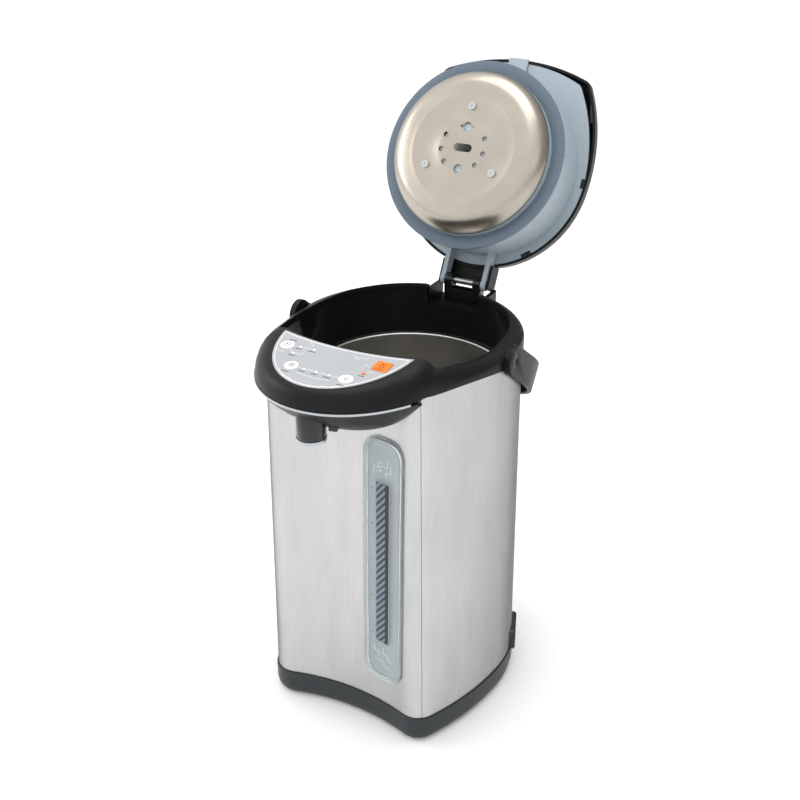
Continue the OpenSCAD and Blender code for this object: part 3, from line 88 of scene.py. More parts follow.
# 430 stainless sheet, brushed upright: a long fine grain that smears reflections
# sideways, with slightly warmer and cooler runs where the belt pressed unevenly
def brushedSheet():
    # the rim colour is painted shade: a dark edge tint that darkens the steel's reflections toward its grazing edges
    steel = {"pale": "#cac9c8", "cool": "#bebfc0", "dull": "#a9aaac", "rim": "#30383c",
             "grainWidth": 0.45, "grainLength": 90.0, "runWidth": 22}
    finish, tree, place = newFinish("brushedStainlessSheet")
    grainAt = addNode(tree, "ShaderNodeMapping", {
        "Vector": place, "Scale": (1000, 1000, 1000 * steel["grainWidth"] / steel["grainLength"])}).outputs[0]
    grain = addNode(tree, "ShaderNodeTexNoise", {
        "Vector": grainAt, "Scale": 1 / steel["grainWidth"], "Detail": 4, "Roughness": 0.65}).outputs["Fac"]
    runAt = addNode(tree, "ShaderNodeMapping", {"Vector": place, "Scale": (1000, 1000, 250)}).outputs[0]
    run = addNode(tree, "ShaderNodeTexNoise", {
        "Vector": runAt, "Scale": 1 / steel["runWidth"], "Detail": 2}).outputs["Fac"]
    runShare = addNode(tree, "ShaderNodeMapRange", {"Value": run, "From Min": 0.3, "From Max": 0.7}).outputs[0]
    tone = addNode(tree, "ShaderNodeMix", {0: runShare, 6: toLinear(steel["pale"]), 7: toLinear(steel["cool"])},
                   data_type="RGBA").outputs[2]
    grainShare = addNode(tree, "ShaderNodeMapRange", {
        "Value": grain, "From Min": 0.3, "From Max": 0.7, "To Min": 0.0, "To Max": 0.35}).outputs[0]
    tint = addNode(tree, "ShaderNodeMix", {0: grainShare, 6: tone, 7: toLinear(steel["dull"])},
                   data_type="RGBA").outputs[2]
    gloss = addNode(tree, "ShaderNodeMapRange", {
        "Value": grain, "From Min": 0.3, "From Max": 0.7, "To Min": 0.34, "To Max": 0.46}).outputs[0]
    relief = addNode(tree, "ShaderNodeBump", {"Height": grain, "Distance": 0.00003, "Strength": 0.25}).outputs[0]
    # Specular Tint carries the painted edge shade, darkening the reflections at grazing angles
    shader = addNode(tree, "ShaderNodeBsdfPrincipled", {
        "Metallic": 1.0, "Anisotropic": 0.5, "Base Color": tint, "Roughness": gloss, "Normal": relief,
        "Specular Tint": toLinear(steel["rim"])})
    addNode(tree, "ShaderNodeOutputMaterial", {"Surface": shader.outputs[0]})
    return finish


# 304 stainless, deep drawn and spun: rings left by the tool, in a darker or paler metal
def spunSteel(name, pale, dark, centre, ringWidth, low, high, turn=0.0, bump=0.2):
    finish, tree, place = newFinish(name)
    moved = addNode(tree, "ShaderNodeMapping", {"Vector": place, "Location": tuple(-c for c in centre)}).outputs[0]
    turned = addNode(tree, "ShaderNodeMapping", {
        "Vector": moved, "Rotation": (turn, 0, 0), "Scale": (1000, 1000, 1000)}).outputs[0]
    split = addNode(tree, "ShaderNodeSeparateXYZ", {0: turned})
    flat = addNode(tree, "ShaderNodeCombineXYZ", {0: split.outputs[0], 1: split.outputs[1]}).outputs[0]
    radius = addNode(tree, "ShaderNodeVectorMath", {0: flat}, operation="LENGTH").outputs["Value"]
    # radius and height as one coordinate, so that walls are ringed as the floor is
    along = addNode(tree, "ShaderNodeCombineXYZ", {0: radius, 1: split.outputs[2]}).outputs[0]
    rings = addNode(tree, "ShaderNodeTexNoise", {
        "Vector": along, "Scale": 1 / ringWidth, "Detail": 3, "Roughness": 0.7}).outputs["Fac"]
    cloud = addNode(tree, "ShaderNodeTexNoise", {"Vector": turned, "Scale": 1 / 30, "Detail": 2}).outputs["Fac"]
    cloudShare = addNode(tree, "ShaderNodeMapRange", {"Value": cloud, "From Min": 0.3, "From Max": 0.7}).outputs[0]
    tone = addNode(tree, "ShaderNodeMix", {0: cloudShare, 6: toLinear(pale), 7: toLinear(dark)},
                   data_type="RGBA").outputs[2]
    gloss = addNode(tree, "ShaderNodeMapRange", {
        "Value": rings, "From Min": 0.3, "From Max": 0.7, "To Min": low, "To Max": high}).outputs[0]
    relief = addNode(tree, "ShaderNodeBump", {"Height": rings, "Distance": 0.00002, "Strength": bump}).outputs[0]
    shader = addNode(tree, "ShaderNodeBsdfPrincipled", {
        "Metallic": 1.0, "Anisotropic": 0.3, "Base Color": tone, "Roughness": gloss, "Normal": relief})
    addNode(tree, "ShaderNodeOutputMaterial", {"Surface": shader.outputs[0]})
    return finish


# moulded ABS or PP: an even colour with a fine eroded grain that softens the gloss
def mouldedPlastic(name, colour, deep, rough, grain=0.35, bump=0.00003, shine=0.5):
    finish, tree, place = newFinish(name)
    inMm = addNode(tree, "ShaderNodeMapping", {"Vector": place, "Scale": (1000, 1000, 1000)}).outputs[0]
    spark = addNode(tree, "ShaderNodeTexNoise", {"Vector": inMm, "Scale": 1 / grain, "Detail": 3}).outputs["Fac"]
    cloud = addNode(tree, "ShaderNodeTexNoise", {"Vector": inMm, "Scale": 1 / 35, "Detail": 2}).outputs["Fac"]
    cloudShare = addNode(tree, "ShaderNodeMapRange", {"Value": cloud, "From Min": 0.3, "From Max": 0.7}).outputs[0]
    tone = addNode(tree, "ShaderNodeMix", {0: cloudShare, 6: toLinear(colour), 7: toLinear(deep)},
                   data_type="RGBA").outputs[2]
    gloss = addNode(tree, "ShaderNodeMapRange", {
        "Value": spark, "From Min": 0.3, "From Max": 0.7, "To Min": rough[0], "To Max": rough[1]}).outputs[0]
    relief = addNode(tree, "ShaderNodeBump", {"Height": spark, "Distance": bump, "Strength": 0.35}).outputs[0]
    shader = addNode(tree, "ShaderNodeBsdfPrincipled", {
        "Base Color": tone, "Roughness": gloss, "Normal": relief, "IOR": 1.5,
        "Specular IOR Level": shine})
    addNode(tree, "ShaderNodeOutputMaterial", {"Surface": shader.outputs[0]})
    return finish


# bright nickel and chrome plate on moulded plastic: mirror like, with faint waves
def chromePlate():
    finish, tree, place = newFinish("chromePlatedTrim")
    inMm = addNode(tree, "ShaderNodeMapping", {"Vector": place, "Scale": (1000, 1000, 1000)}).outputs[0]
    wave = addNode(tree, "ShaderNodeTexNoise", {"Vector": inMm, "Scale": 1 / 9, "Detail": 2}).outputs["Fac"]
    tone = addNode(tree, "ShaderNodeMix", {0: wave, 6: toLinear("#b4b8bc"), 7: toLinear("#a8acb1")},
                   data_type="RGBA").outputs[2]
    gloss = addNode(tree, "ShaderNodeMapRange", {"Value": wave, "To Min": 0.04, "To Max": 0.1}).outputs[0]
    relief = addNode(tree, "ShaderNodeBump", {"Height": wave, "Distance": 0.00005, "Strength": 0.1}).outputs[0]
    shader = addNode(tree, "ShaderNodeBsdfPrincipled", {
        "Metallic": 1.0, "Base Color": tone, "Roughness": gloss, "Normal": relief})
    addNode(tree, "ShaderNodeOutputMaterial", {"Surface": shader.outputs[0]})
    return finish


# food silicone, compression moulded: matt, with a soft glow at its thin lips
def siliconeRubber(name, colour, deep):
    finish, tree, place = newFinish(name)
    inMm = addNode(tree, "ShaderNodeMapping", {"Vector": place, "Scale": (1000, 1000, 1000)}).outputs[0]
    dust = addNode(tree, "ShaderNodeTexNoise", {"Vector": inMm, "Scale": 1 / 0.8, "Detail": 4}).outputs["Fac"]
    cloud = addNode(tree, "ShaderNodeTexNoise", {"Vector": inMm, "Scale": 1 / 18, "Detail": 2}).outputs["Fac"]
    tone = addNode(tree, "ShaderNodeMix", {0: cloud, 6: toLinear(colour), 7: toLinear(deep)},
                   data_type="RGBA").outputs[2]
    gloss = addNode(tree, "ShaderNodeMapRange", {
        "Value": dust, "From Min": 0.3, "From Max": 0.7, "To Min": 0.34, "To Max": 0.5}).outputs[0]
    relief = addNode(tree, "ShaderNodeBump", {"Height": dust, "Distance": 0.00002, "Strength": 0.2}).outputs[0]
    shader = addNode(tree, "ShaderNodeBsdfPrincipled", {
        "Base Color": tone, "Roughness": gloss, "Normal": relief, "IOR": 1.41, "Subsurface Weight": 0.1,
        "Subsurface Radius": (0.002, 0.0025, 0.003)})
    addNode(tree, "ShaderNodeOutputMaterial", {"Surface": shader.outputs[0]})
    return finish


# injection moulded clear or milky plastic: some light passes, flow lines show faintly
def clearPlastic(name, colour, deep, through, rough):
    flowWidth = 12.0
    finish, tree, place = newFinish(name)
    inMm = addNode(tree, "ShaderNodeMapping", {"Vector": place, "Scale": (1000, 1000, 300)}).outputs[0]
    lines = addNode(tree, "ShaderNodeTexNoise", {"Vector": inMm, "Scale": 1 / flowWidth, "Detail": 2}).outputs["Fac"]
    fine = addNode(tree, "ShaderNodeTexNoise", {"Vector": inMm, "Scale": 1 / 1.2, "Detail": 3}).outputs["Fac"]
    tone = addNode(tree, "ShaderNodeMix", {0: lines, 6: toLinear(colour), 7: toLinear(deep)},
                   data_type="RGBA").outputs[2]
    gloss = addNode(tree, "ShaderNodeMapRange", {
        "Value": fine, "From Min": 0.3, "From Max": 0.7, "To Min": rough[0], "To Max": rough[1]}).outputs[0]
    relief = addNode(tree, "ShaderNodeBump", {"Height": lines, "Distance": 0.00005, "Strength": 0.1}).outputs[0]
    shader = addNode(tree, "ShaderNodeBsdfPrincipled", {
        "Base Color": tone, "Roughness": gloss, "Normal": relief, "IOR": 1.49, "Transmission Weight": through})
    addNode(tree, "ShaderNodeOutputMaterial", {"Surface": shader.outputs[0]})
    return finish


# plated or bare small metal parts: fine drawn marks
def fittingMetal(name, colour, deep, rough=(0.25, 0.4)):
    finish, tree, place = newFinish(name)
    inMm = addNode(tree, "ShaderNodeMapping", {"Vector": place, "Scale": (1000, 1000, 300)}).outputs[0]
    marks = addNode(tree, "ShaderNodeTexNoise", {"Vector": inMm, "Scale": 1 / 0.6, "Detail": 4}).outputs["Fac"]
    tone = addNode(tree, "ShaderNodeMix", {0: marks, 6: toLinear(colour), 7: toLinear(deep)},
                   data_type="RGBA").outputs[2]
    gloss = addNode(tree, "ShaderNodeMapRange", {
        "Value": marks, "From Min": 0.3, "From Max": 0.7, "To Min": rough[0], "To Max": rough[1]}).outputs[0]
    relief = addNode(tree, "ShaderNodeBump", {"Height": marks, "Distance": 0.00003, "Strength": 0.3}).outputs[0]
    shader = addNode(tree, "ShaderNodeBsdfPrincipled", {
        "Metallic": 1.0, "Base Color": tone, "Roughness": gloss, "Normal": relief})
    addNode(tree, "ShaderNodeOutputMaterial", {"Surface": shader.outputs[0]})
    return finish


# printed strip behind the gauge's slot: slanting pale and dark bars, dark on one side
def stripedPrint():
    bars = {"pale": "#6c7a86", "dark": "#262a31", "side": "#1d2026", "pitch": 6.3, "lean": -1.24,
            "sideFrom": 0.0362, "sideTo": 0.0366}
    finish, tree, place = newFinish("stripedGaugePrint")
    split = addNode(tree, "ShaderNodeSeparateXYZ", {0: place})
    lean = addNode(tree, "ShaderNodeMath", {0: split.outputs[0], 1: bars["lean"], 2: split.outputs[2]},
                   operation="MULTIPLY_ADD").outputs[0]
    turns = addNode(tree, "ShaderNodeMath", {0: lean, 1: 2000 * math.pi / bars["pitch"]}, operation="MULTIPLY")
    wave = addNode(tree, "ShaderNodeMath", {0: turns.outputs[0]}, operation="SINE").outputs[0]
    barShare = addNode(tree, "ShaderNodeMapRange", {"Value": wave, "From Min": -0.25, "From Max": 0.25}).outputs[0]
    both = addNode(tree, "ShaderNodeMix", {0: barShare, 6: toLinear(bars["pale"]), 7: toLinear(bars["dark"])},
                   data_type="RGBA").outputs[2]
    sideShare = addNode(tree, "ShaderNodeMapRange", {
        "Value": split.outputs[0], "From Min": bars["sideFrom"], "From Max": bars["sideTo"]}).outputs[0]
    tone = addNode(tree, "ShaderNodeMix", {0: sideShare, 6: both, 7: toLinear(bars["side"])},
                   data_type="RGBA").outputs[2]
    inMm = addNode(tree, "ShaderNodeMapping", {"Vector": place, "Scale": (1000, 1000, 1000)}).outputs[0]
    dust = addNode(tree, "ShaderNodeTexNoise", {"Vector": inMm, "Scale": 1.0, "Detail": 2}).outputs["Fac"]
    gloss = addNode(tree, "ShaderNodeMapRange", {"Value": dust, "To Min": 0.4, "To Max": 0.6}).outputs[0]
    shader = addNode(tree, "ShaderNodeBsdfPrincipled", {"Base Color": tone, "Roughness": gloss})
    addNode(tree, "ShaderNodeOutputMaterial", {"Surface": shader.outputs[0]})
    return finish


finishes = {}
finishes["sheet"] = brushedSheet()
finishes["chrome"] = chromePlate()
finishes["potSteel"] = spunSteel("spunPotSteel", "#d8d6d3", "#cccac6", (0, potAxis, 0), 0.5, 0.3, 0.42)
finishes["panSteel"] = spunSteel("spunPanSteel", "#b4ada2", "#aca59a", (0, 0.1006, 0.3284),
                                 0.6, 0.26, 0.34, math.radians(lidOpen), 0.08)
finishes["charcoal"] = mouldedPlastic("satinCharcoalAbs", "#0e1011", "#0b0c0d", (0.36, 0.46), shine=0.2)
finishes["baseGrey"] = mouldedPlastic("satinGreyPolypropylene", "#2b3032", "#262a2c", (0.4, 0.5), shine=0.3)
finishes["chinGrey"] = mouldedPlastic("satinChinAbs", "#14171a", "#101315", (0.36, 0.46), shine=0.3)
finishes["black"] = mouldedPlastic("glossBlackAbs", "#101316", "#0c0f12", (0.14, 0.22), 0.8, 0.00001, 0.5)
finishes["film"] = mouldedPlastic("printedPolycarbonateFilm", "#a9abae", "#a5a7aa", (0.34, 0.42), 0.5, 0.00001, 0.3)
finishes["whiteInk"] = mouldedPlastic("whiteScreenInk", "#fbfbfb", "#f4f4f4", (0.4, 0.5), 0.6, 0.00001, 0.3)
finishes["silverInk"] = mouldedPlastic("silverScreenInk", "#8f97a0", "#868e98", (0.4, 0.5), 0.6, 0.00001, 0.3)
finishes["greyInk"] = mouldedPlastic("greyScreenInk", "#2c3033", "#262a2d", (0.4, 0.5), 0.6, 0.00001, 0.3)
finishes["whiteKey"] = mouldedPlastic("satinWhiteAbs", "#fafaf8", "#f4f4f2", (0.3, 0.4), shine=0.4)
finishes["orangeKey"] = mouldedPlastic("satinOrangeAbs", "#e87a14", "#e27210", (0.32, 0.42), shine=0.3)
finishes["lamp"] = mouldedPlastic("lampEpoxy", "#ffffff", "#f6f6f2", (0.15, 0.25))
finishes["lens"] = clearPlastic("clearStyreneLens", "#e8eff1", "#dfe7ea", 0.82, (0.06, 0.12))
finishes["liner"] = clearPlastic("milkyPolypropyleneLiner", "#a9b5bd", "#9eabb4", 0.12, (0.26, 0.36))
finishes["backing"] = mouldedPlastic("satinSilverStyrene", "#bcc6ca", "#b4bec2", (0.3, 0.42))
finishes["tube"] = clearPlastic("gaugeGlass", "#dfe6ea", "#d5dde2", 0.9, (0.02, 0.05))
finishes["strip"] = stripedPrint()
finishes["dull"] = mouldedPlastic("dullDarkPolymer", "#3a3c40", "#303236", (0.5, 0.6))
finishes["gasket"] = siliconeRubber("blueGreySilicone", "#64727f", "#5b6976")
finishes["paleGasket"] = siliconeRubber("paleSilicone", "#dedcd6", "#d2d0ca")
finishes["foot"] = mouldedPlastic("mattFootRubber", "#1d1d1d", "#161616", (0.6, 0.75), 0.6, 0.00005)
finishes["zinc"] = fittingMetal("zincPlatedSteel", "#c9ccd0", "#b4b8bd")
finishes["brightScrew"] = fittingMetal("brightScrewSteel", "#c8cacc", "#babdc0", (0.1, 0.18))
finishes["brightSpring"] = fittingMetal("brightSpringWire", "#a8abb0", "#93969c")
finishes["aluminium"] = fittingMetal("rolledAluminium", "#c4c5c7", "#b4b6b9", (0.3, 0.45))
finishes["brass"] = fittingMetal("drawnBrass", "#c8a55c", "#b39150")
finishes["nylon"] = mouldedPlastic("whiteNylon", "#dcdbd4", "#d0cfc8", (0.35, 0.45))
finishes["board"] = mouldedPlastic("lacqueredBoard", "#1f6b3c", "#195a32", (0.25, 0.35), 1.5)
print("finishes mixed")

# camera: above and to the right of the front; tilt and turn in degrees
view = {"lens": 50.5, "sensor": 36, "at": (0.3994, -0.7272, 0.6792), "tilt": 63.2, "turn": 29.0}
cameraData = bpy.data.cameras.new("studioCamera")
cameraData.sensor_width = view["sensor"]
cameraData.lens = view["lens"]
camera = bpy.data.objects.new("studioCamera", cameraData)
bpy.context.scene.collection.objects.link(camera)
camera.location = view["at"]
camera.rotation_euler = (math.radians(view["tilt"]), 0, math.radians(view["turn"]))
bpy.context.scene.camera = camera
bpy.context.scene.view_settings.view_transform = "Standard"

# pale floor and soft boxes
studio = {"floor": "#fdfdfd", "worn": "#fafafa", "floorSize": 40.0, "sky": 1.25, "skyMiddle": (-0.42, -0.62, 0.66),
          "dimFrom": -0.45, "fullFrom": 0.5, "dimmest": 0.28, "aim": (0, 0, 0.25)}
bpy.ops.mesh.primitive_plane_add(size=studio["floorSize"], location=(0, 0, 0))
floor = bpy.context.object
floor.name = "studioFloor"
floorFinish, floorTree, floorPlace = newFinish("paintedFloor")
floorTone = addNode(floorTree, "ShaderNodeTexNoise", {
    "Vector": floorPlace, "Scale": 2.5, "Detail": 2}).outputs["Fac"]
floorPaint = addNode(floorTree, "ShaderNodeMix", {
    0: floorTone, 6: toLinear(studio["floor"]), 7: toLinear(studio["worn"])}, data_type="RGBA").outputs[2]
floorShader = addNode(floorTree, "ShaderNodeBsdfPrincipled", {"Base Color": floorPaint, "Roughness": 0.8})
addNode(floorTree, "ShaderNodeOutputMaterial", {"Surface": floorShader.outputs[0]})
floor.data.materials.append(floorFinish)

world = bpy.data.worlds.new("studioSky")
bpy.context.scene.world = world
world.use_nodes = True
world.node_tree.nodes.clear()
# white tent, open to a darker room behind the right side
skyPlace = addNode(world.node_tree, "ShaderNodeTexCoord").outputs["Generated"]
towards = addNode(world.node_tree, "ShaderNodeVectorMath", {0: skyPlace, 1: studio["skyMiddle"]},
                  operation="DOT_PRODUCT").outputs["Value"]
tent = addNode(world.node_tree, "ShaderNodeMapRange", {
    "Value": towards, "From Min": studio["dimFrom"], "From Max": studio["fullFrom"],
    "To Min": studio["dimmest"], "To Max": 1.0},
    interpolation_type="SMOOTHSTEP").outputs[0]
glow = addNode(world.node_tree, "ShaderNodeMath", {0: tent, 1: studio["sky"]}, operation="MULTIPLY").outputs[0]
skyLight = addNode(world.node_tree, "ShaderNodeBackground", {"Color": (1, 1, 1, 1), "Strength": glow})
addNode(world.node_tree, "ShaderNodeOutputWorld", {"Surface": skyLight.outputs[0]})

softBoxes = [
    {"name": "keyBox", "at": (-1.9, -0.6, 1.0), "size": 1.2, "power": 12},
    {"name": "sideBox", "at": (1.5, -0.3, 0.9), "size": 0.8, "power": 1},
    {"name": "topBox", "at": (0.1, 0.2, 1.9), "size": 1.4, "power": 12},
]
for lampBox in softBoxes:
    lightData = bpy.data.lights.new(lampBox["name"], "AREA")
    lightData.size = lampBox["size"]
    lightData.energy = lampBox["power"]
    light = bpy.data.objects.new(lampBox["name"], lightData)
    bpy.context.scene.collection.objects.link(light)
    light.location = lampBox["at"]
    light.rotation_euler = (Vector(studio["aim"]) - light.location).to_track_quat("-Z", "Y").to_euler()
print("studio set")


def selectOnly(piece):
    bpy.ops.object.select_all(action="DESELECT")
    piece.select_set(True)
    bpy.context.view_layer.objects.active = piece


def bodyOf(node):
    return nodes[node]["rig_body"]


# a smoothed copy of a CAD shape that stands for it
def dressCopy(node, finish, angle, edge=0.0):
    source = nodes[node]
    piece = bpy.data.objects.new(node + "Skin", source.data.copy())
    bpy.context.scene.collection.objects.link(piece)
    selectOnly(piece)
    bpy.ops.object.mode_set(mode="EDIT")
    bpy.ops.mesh.select_all(action="SELECT")
    bpy.ops.mesh.remove_doubles(threshold=0.00001)
    if piece.data.has_custom_normals:
        bpy.ops.mesh.customdata_custom_splitnormals_clear()
    if edge:
        bpy.ops.mesh.dissolve_limited(angle_limit=math.radians(0.5))
    bpy.ops.object.mode_set(mode="OBJECT")
    if edge:
        bevel = piece.modifiers.new("softEdge", "BEVEL")
        bevel.width = edge
        bevel.segments = 2
        bevel.limit_method = "ANGLE"
        bevel.angle_limit = math.radians(40)
        bevel.use_clamp_overlap = True
        bpy.ops.object.modifier_apply(modifier=bevel.name)
    bpy.ops.object.shade_smooth_by_angle(angle=math.radians(angle))
    piece.data.materials.clear()
    piece.data.materials.append(finish)
    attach(piece, bodyOf(node))
    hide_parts(node)


shells = {
    "base_housing": ("baseGrey", "base_plastic", 30), "front_panel": ("sheet", "steel_sheet", 30),
    "rear_shell": ("sheet", "steel_sheet", 30), "collar": ("charcoal", "charcoal_plastic", 30),
    "collar_liner": ("black", "black_plastic", 30), "spout_chin": ("chinGrey", "charcoal_plastic", 30),
    "chrome_trim": ("chrome", "bright_trim", 30), "lid_cover": ("charcoal", "charcoal_plastic", 30),
    "lid_liner": ("liner", "liner_plastic", 30), "lid_gasket": ("gasket", "silicone", 40),
    "lid_plate": ("panSteel", "polished_steel", 40), "inner_pot": ("potSteel", "polished_steel", 40),
}
for node, (finishName, slotName, angle) in shells.items():
    dressCopy(node, finishes[finishName], angle)

fitted = {
    "nozzle": ("black", "black_plastic", 0.0006), "bail_handle": ("charcoal", "charcoal_plastic", 0.0006),
    "handle_bosses": ("black", "black_plastic", 0.0004), "hinge_post": ("black", "black_plastic", 0.0004),
    "lid_lever": ("black", "black_plastic", 0.0005), "gauge_lens": ("lens", "clear_plastic", 0.0006),
    "power_inlet": ("black", "black_plastic", 0.0006), "control_panel": ("film", "panel_film", 0.0),
    "dispense_button": ("orangeKey", "orange_key", 0.0003), "unlock_button": ("whiteKey", "white_key", 0.0003),
    "reboil_button": ("whiteKey", "white_key", 0.0003), "warm_button": ("whiteKey", "white_key", 0.0003),
    "rubber_feet": ("foot", "foot_rubber", 0.0003),
}
for node, (finishName, slotName, edge) in fitted.items():
    dressCopy(node, finishes[finishName], 35, edge)

kept = {
    "bottom_cover": "baseGrey", "base_screws": "zinc", "nozzle_ring": "chrome", "spout_pipe": "nylon",
    "riser_tube": "paleGasket", "manifold": "nylon", "suction_hose": "paleGasket",
    "indicator_leds": "lamp", "control_board": "board", "board_screws": "zinc",
    "gauge_backing": "backing", "gauge_tube": "tube", "gauge_strip": "strip", "pot_gasket": "paleGasket",
    "heat_shield": "zinc", "heater_plate": "aluminium", "thermostats": "brass", "thermal_fuse": "paleGasket",
    "pump_housing": "nylon", "pump_impeller": "dull", "pump_motor": "zinc", "power_board": "board",
    "inlet_pins": "brass", "hinge_pin": "zinc", "plate_screws": "brightScrew", "lever_pin": "zinc",
    "lid_latch": "liner", "lever_spring": "brightSpring", "steam_duct": "nylon",
}
for node, finishName in kept.items():
    nodes[node].data.materials.clear()
    nodes[node].data.materials.append(finishes[finishName])
print("shells dressed")

# place on the key panel, in metres, for a point in millimetres seen from above
panel = {"edge": 0.0741, "height": 0.3451, "slope": 0.12}


def onPanel(x, y, lift):
    return (x / 1000, y / 1000, panel["height"] + panel["slope"] * (y / 1000 + panel["edge"]) + lift / 1000)


# printed or moulded lines as one mesh: each line is a list of points in metres
def drawLines(name, lines, radius, finish, body, closed=False):
    curve = bpy.data.curves.new(name, "CURVE")
    curve.dimensions = "3D"
    curve.bevel_depth = radius / 1000
    curve.bevel_resolution = 1
    curve.use_fill_caps = True
    for line in lines:
        spline = curve.splines.new("POLY")
        spline.points.add(len(line) - 1)
        for point, place in zip(spline.points, line):
            point.co = (*place, 1)
        spline.use_cyclic_u = closed
    piece = bpy.data.objects.new(name, curve)
    bpy.context.scene.collection.objects.link(piece)
    selectOnly(piece)
    bpy.ops.object.convert(target="MESH")
    piece = bpy.context.object
    bpy.ops.object.mode_set(mode="EDIT")
    bpy.ops.mesh.select_all(action="SELECT")
    bpy.ops.mesh.normals_make_consistent(inside=False)
    bpy.ops.object.mode_set(mode="OBJECT")
    bpy.ops.object.shade_smooth_by_angle(angle=math.radians(50))
    piece.data.materials.append(finish)
    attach(piece, body)


def addBox(at, size, turn=0.0):
    bpy.ops.object.select_all(action="DESELECT")
    bpy.ops.mesh.primitive_cube_add(size=1, location=at, rotation=(0, 0, math.radians(turn)))
    box = bpy.context.object
    box.dimensions = size
    return box


# rounds a new piece's edges, moves its points with reshape, and hangs it on the body of a node
def settlePiece(piece, name, finish, node, edge=0.0, segments=3, reshape=None, smooth=35):
    piece.name = name
    bpy.ops.object.transform_apply(location=True, rotation=True, scale=True)
    if edge:
        bevel = piece.modifiers.new("softEdge", "BEVEL")
        bevel.width = edge
        bevel.segments = segments
        bpy.ops.object.modifier_apply(modifier=bevel.name)
    if reshape:
        for vertex in piece.data.vertices:
            vertex.co = reshape(vertex.co)
    bpy.ops.object.shade_smooth_by_angle(angle=math.radians(smooth))
    piece.data.materials.append(finishes[finish])
    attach(piece, bodyOf(node))


def circleLine(x, y, radius, start, end, lift, count=24):
    angles = [math.radians(start + (end - start) * i / count) for i in range(count + 1)]
    return [onPanel(x + radius * math.cos(a), y + radius * math.sin(a), lift) for a in angles]


# white border inside the panel's edge: front ellipse, then the hollow rear edge
border = {"halfWide": 54.2, "halfLong": 71.5, "middle": -74.1, "rearMiddle": 140.4, "rearRadius": 234.4,
          "rearSteps": 20}
inkLift = 0.02
frontAngles = [math.radians(a) for a in range(193, 348, 3)]
borderLine = [onPanel(border["halfWide"] * math.cos(a), border["middle"] + border["halfLong"] * math.sin(a), inkLift)
              for a in frontAngles]
borderStart, borderEnd = borderLine[-1][0] * 1000, borderLine[0][0] * 1000
for i in range(border["rearSteps"] + 1):
    x = borderStart + (borderEnd - borderStart) * i / border["rearSteps"]
    rear = border["rearMiddle"] - math.sqrt(border["rearRadius"] ** 2 - x * x)
    borderLine.append(onPanel(x, rear, inkLift))
drawLines("panelBorder", [borderLine], 0.26, finishes["whiteInk"], bodyOf("control_panel"), True)

# white leader lines between keys and lamps, with stepped ends
leaders = [
    [(-35.0, -103.0), (-32.5, -103.0)], [(-28.5, -102.1), (-21.0, -102.1)],
    [(-35.6, -108.0), (-32.4, -111.0)], [(-28.6, -111.6), (-24.0, -111.6), (-24.0, -107.0)],
    [(-15.8, -127.5), (-13.0, -127.5)], [(-9.0, -127.5), (-2.8, -127.5)], [(1.2, -127.5), (7.9, -127.7)],
    [(11.9, -127.9), (18.0, -127.9)], [(33.0, -115.0), (37.0, -111.5)],
    [(13.0, -96.5), (13.0, -99.5), (24.0, -98.6), (24.0, -95.6)],
    [(-13.0, -134.0), (-4.0, -135.2), (6.0, -135.2), (14.0, -134.2)],
    [(16.0, -98.0), (16.0, -101.5), (20.0, -101.3)], [(27.0, -112.0), (27.0, -106.0), (31.0, -106.0)],
    [(-47.0, -110.0), (-43.0, -113.0), (-38.0, -113.0)], [(-24.0, -138.0), (-20.0, -141.5), (-12.0, -142.5)],
    [(12.0, -142.6), (20.0, -141.2), (25.0, -137.8)], [(-27.0, -95.0), (-23.0, -95.6), (-23.0, -99.0)],
]
drawLines("panelLeaders", [[onPanel(x, y, inkLift) for x, y in line] for line in leaders], 0.14,
          finishes["whiteInk"], bodyOf("control_panel"))

# short grey bars where a lamp's caption would stand
captions = [(-30.5, -105.4, 2.6), (-19.0, -105.2, 3.2), (-30.6, -115.0, 2.8), (-11.0, -131.0, 2.6),
            (-0.8, -131.2, 2.4), (9.9, -131.2, 2.8), (24.2, -136.0, 3.0), (-22.3, -135.4, 3.0),
            (-41.0, -96.0, 3.0), (31.6, -120.0, 2.2)]
drawLines("panelCaptions", [
    [onPanel(x - half, y, inkLift), onPanel(x + half, y, inkLift)] for x, y, half in captions], 0.28,
           finishes["greyInk"], bodyOf("control_panel"))

# signs on the keys: open ring, wave, sun and a drop
keyTop = 0.52
signs = {
    "unlock_button": ("unlockSign", [
        circleLine(-41.2, -102.0, 1.3, -20, 220, keyTop),
        [onPanel(-43.0, -103.2, keyTop), onPanel(-39.4, -103.2, keyTop), onPanel(-39.4, -106.0, keyTop),
         onPanel(-43.0, -106.0, keyTop), onPanel(-43.0, -103.2, keyTop)]]),
    "reboil_button": ("reboilSign", [
        [onPanel(-25.0 + 0.5 * i, -127.3 + shift + 0.6 * math.sin(i * 1.05), keyTop) for i in range(12)]
        for shift in (-1.4, 0.2, 1.8)]),
    "warm_button": ("warmSign", [
        circleLine(24.1, -127.9, 1.2, 0, 360, keyTop)] + [
        [onPanel(24.1 + r * math.cos(math.radians(a)), -127.9 + r * math.sin(math.radians(a)), keyTop)
         for r in (2.0, 2.9)] for a in range(0, 360, 45)]),
    "dispense_button": ("dispenseSign", [
        [onPanel(39.1, -100.6, keyTop), onPanel(37.6, -103.2, keyTop), onPanel(37.4, -104.6, keyTop),
         onPanel(38.2, -105.8, keyTop), onPanel(39.1, -106.1, keyTop), onPanel(40.0, -105.8, keyTop),
         onPanel(40.8, -104.6, keyTop), onPanel(40.6, -103.2, keyTop), onPanel(39.1, -100.6, keyTop)],
        [onPanel(35.6, -108.0, keyTop), onPanel(42.6, -108.0, keyTop)]]),
}
for node, (name, lines) in signs.items():
    drawLines(name, lines, 0.22, finishes["greyInk"], bodyOf(node))

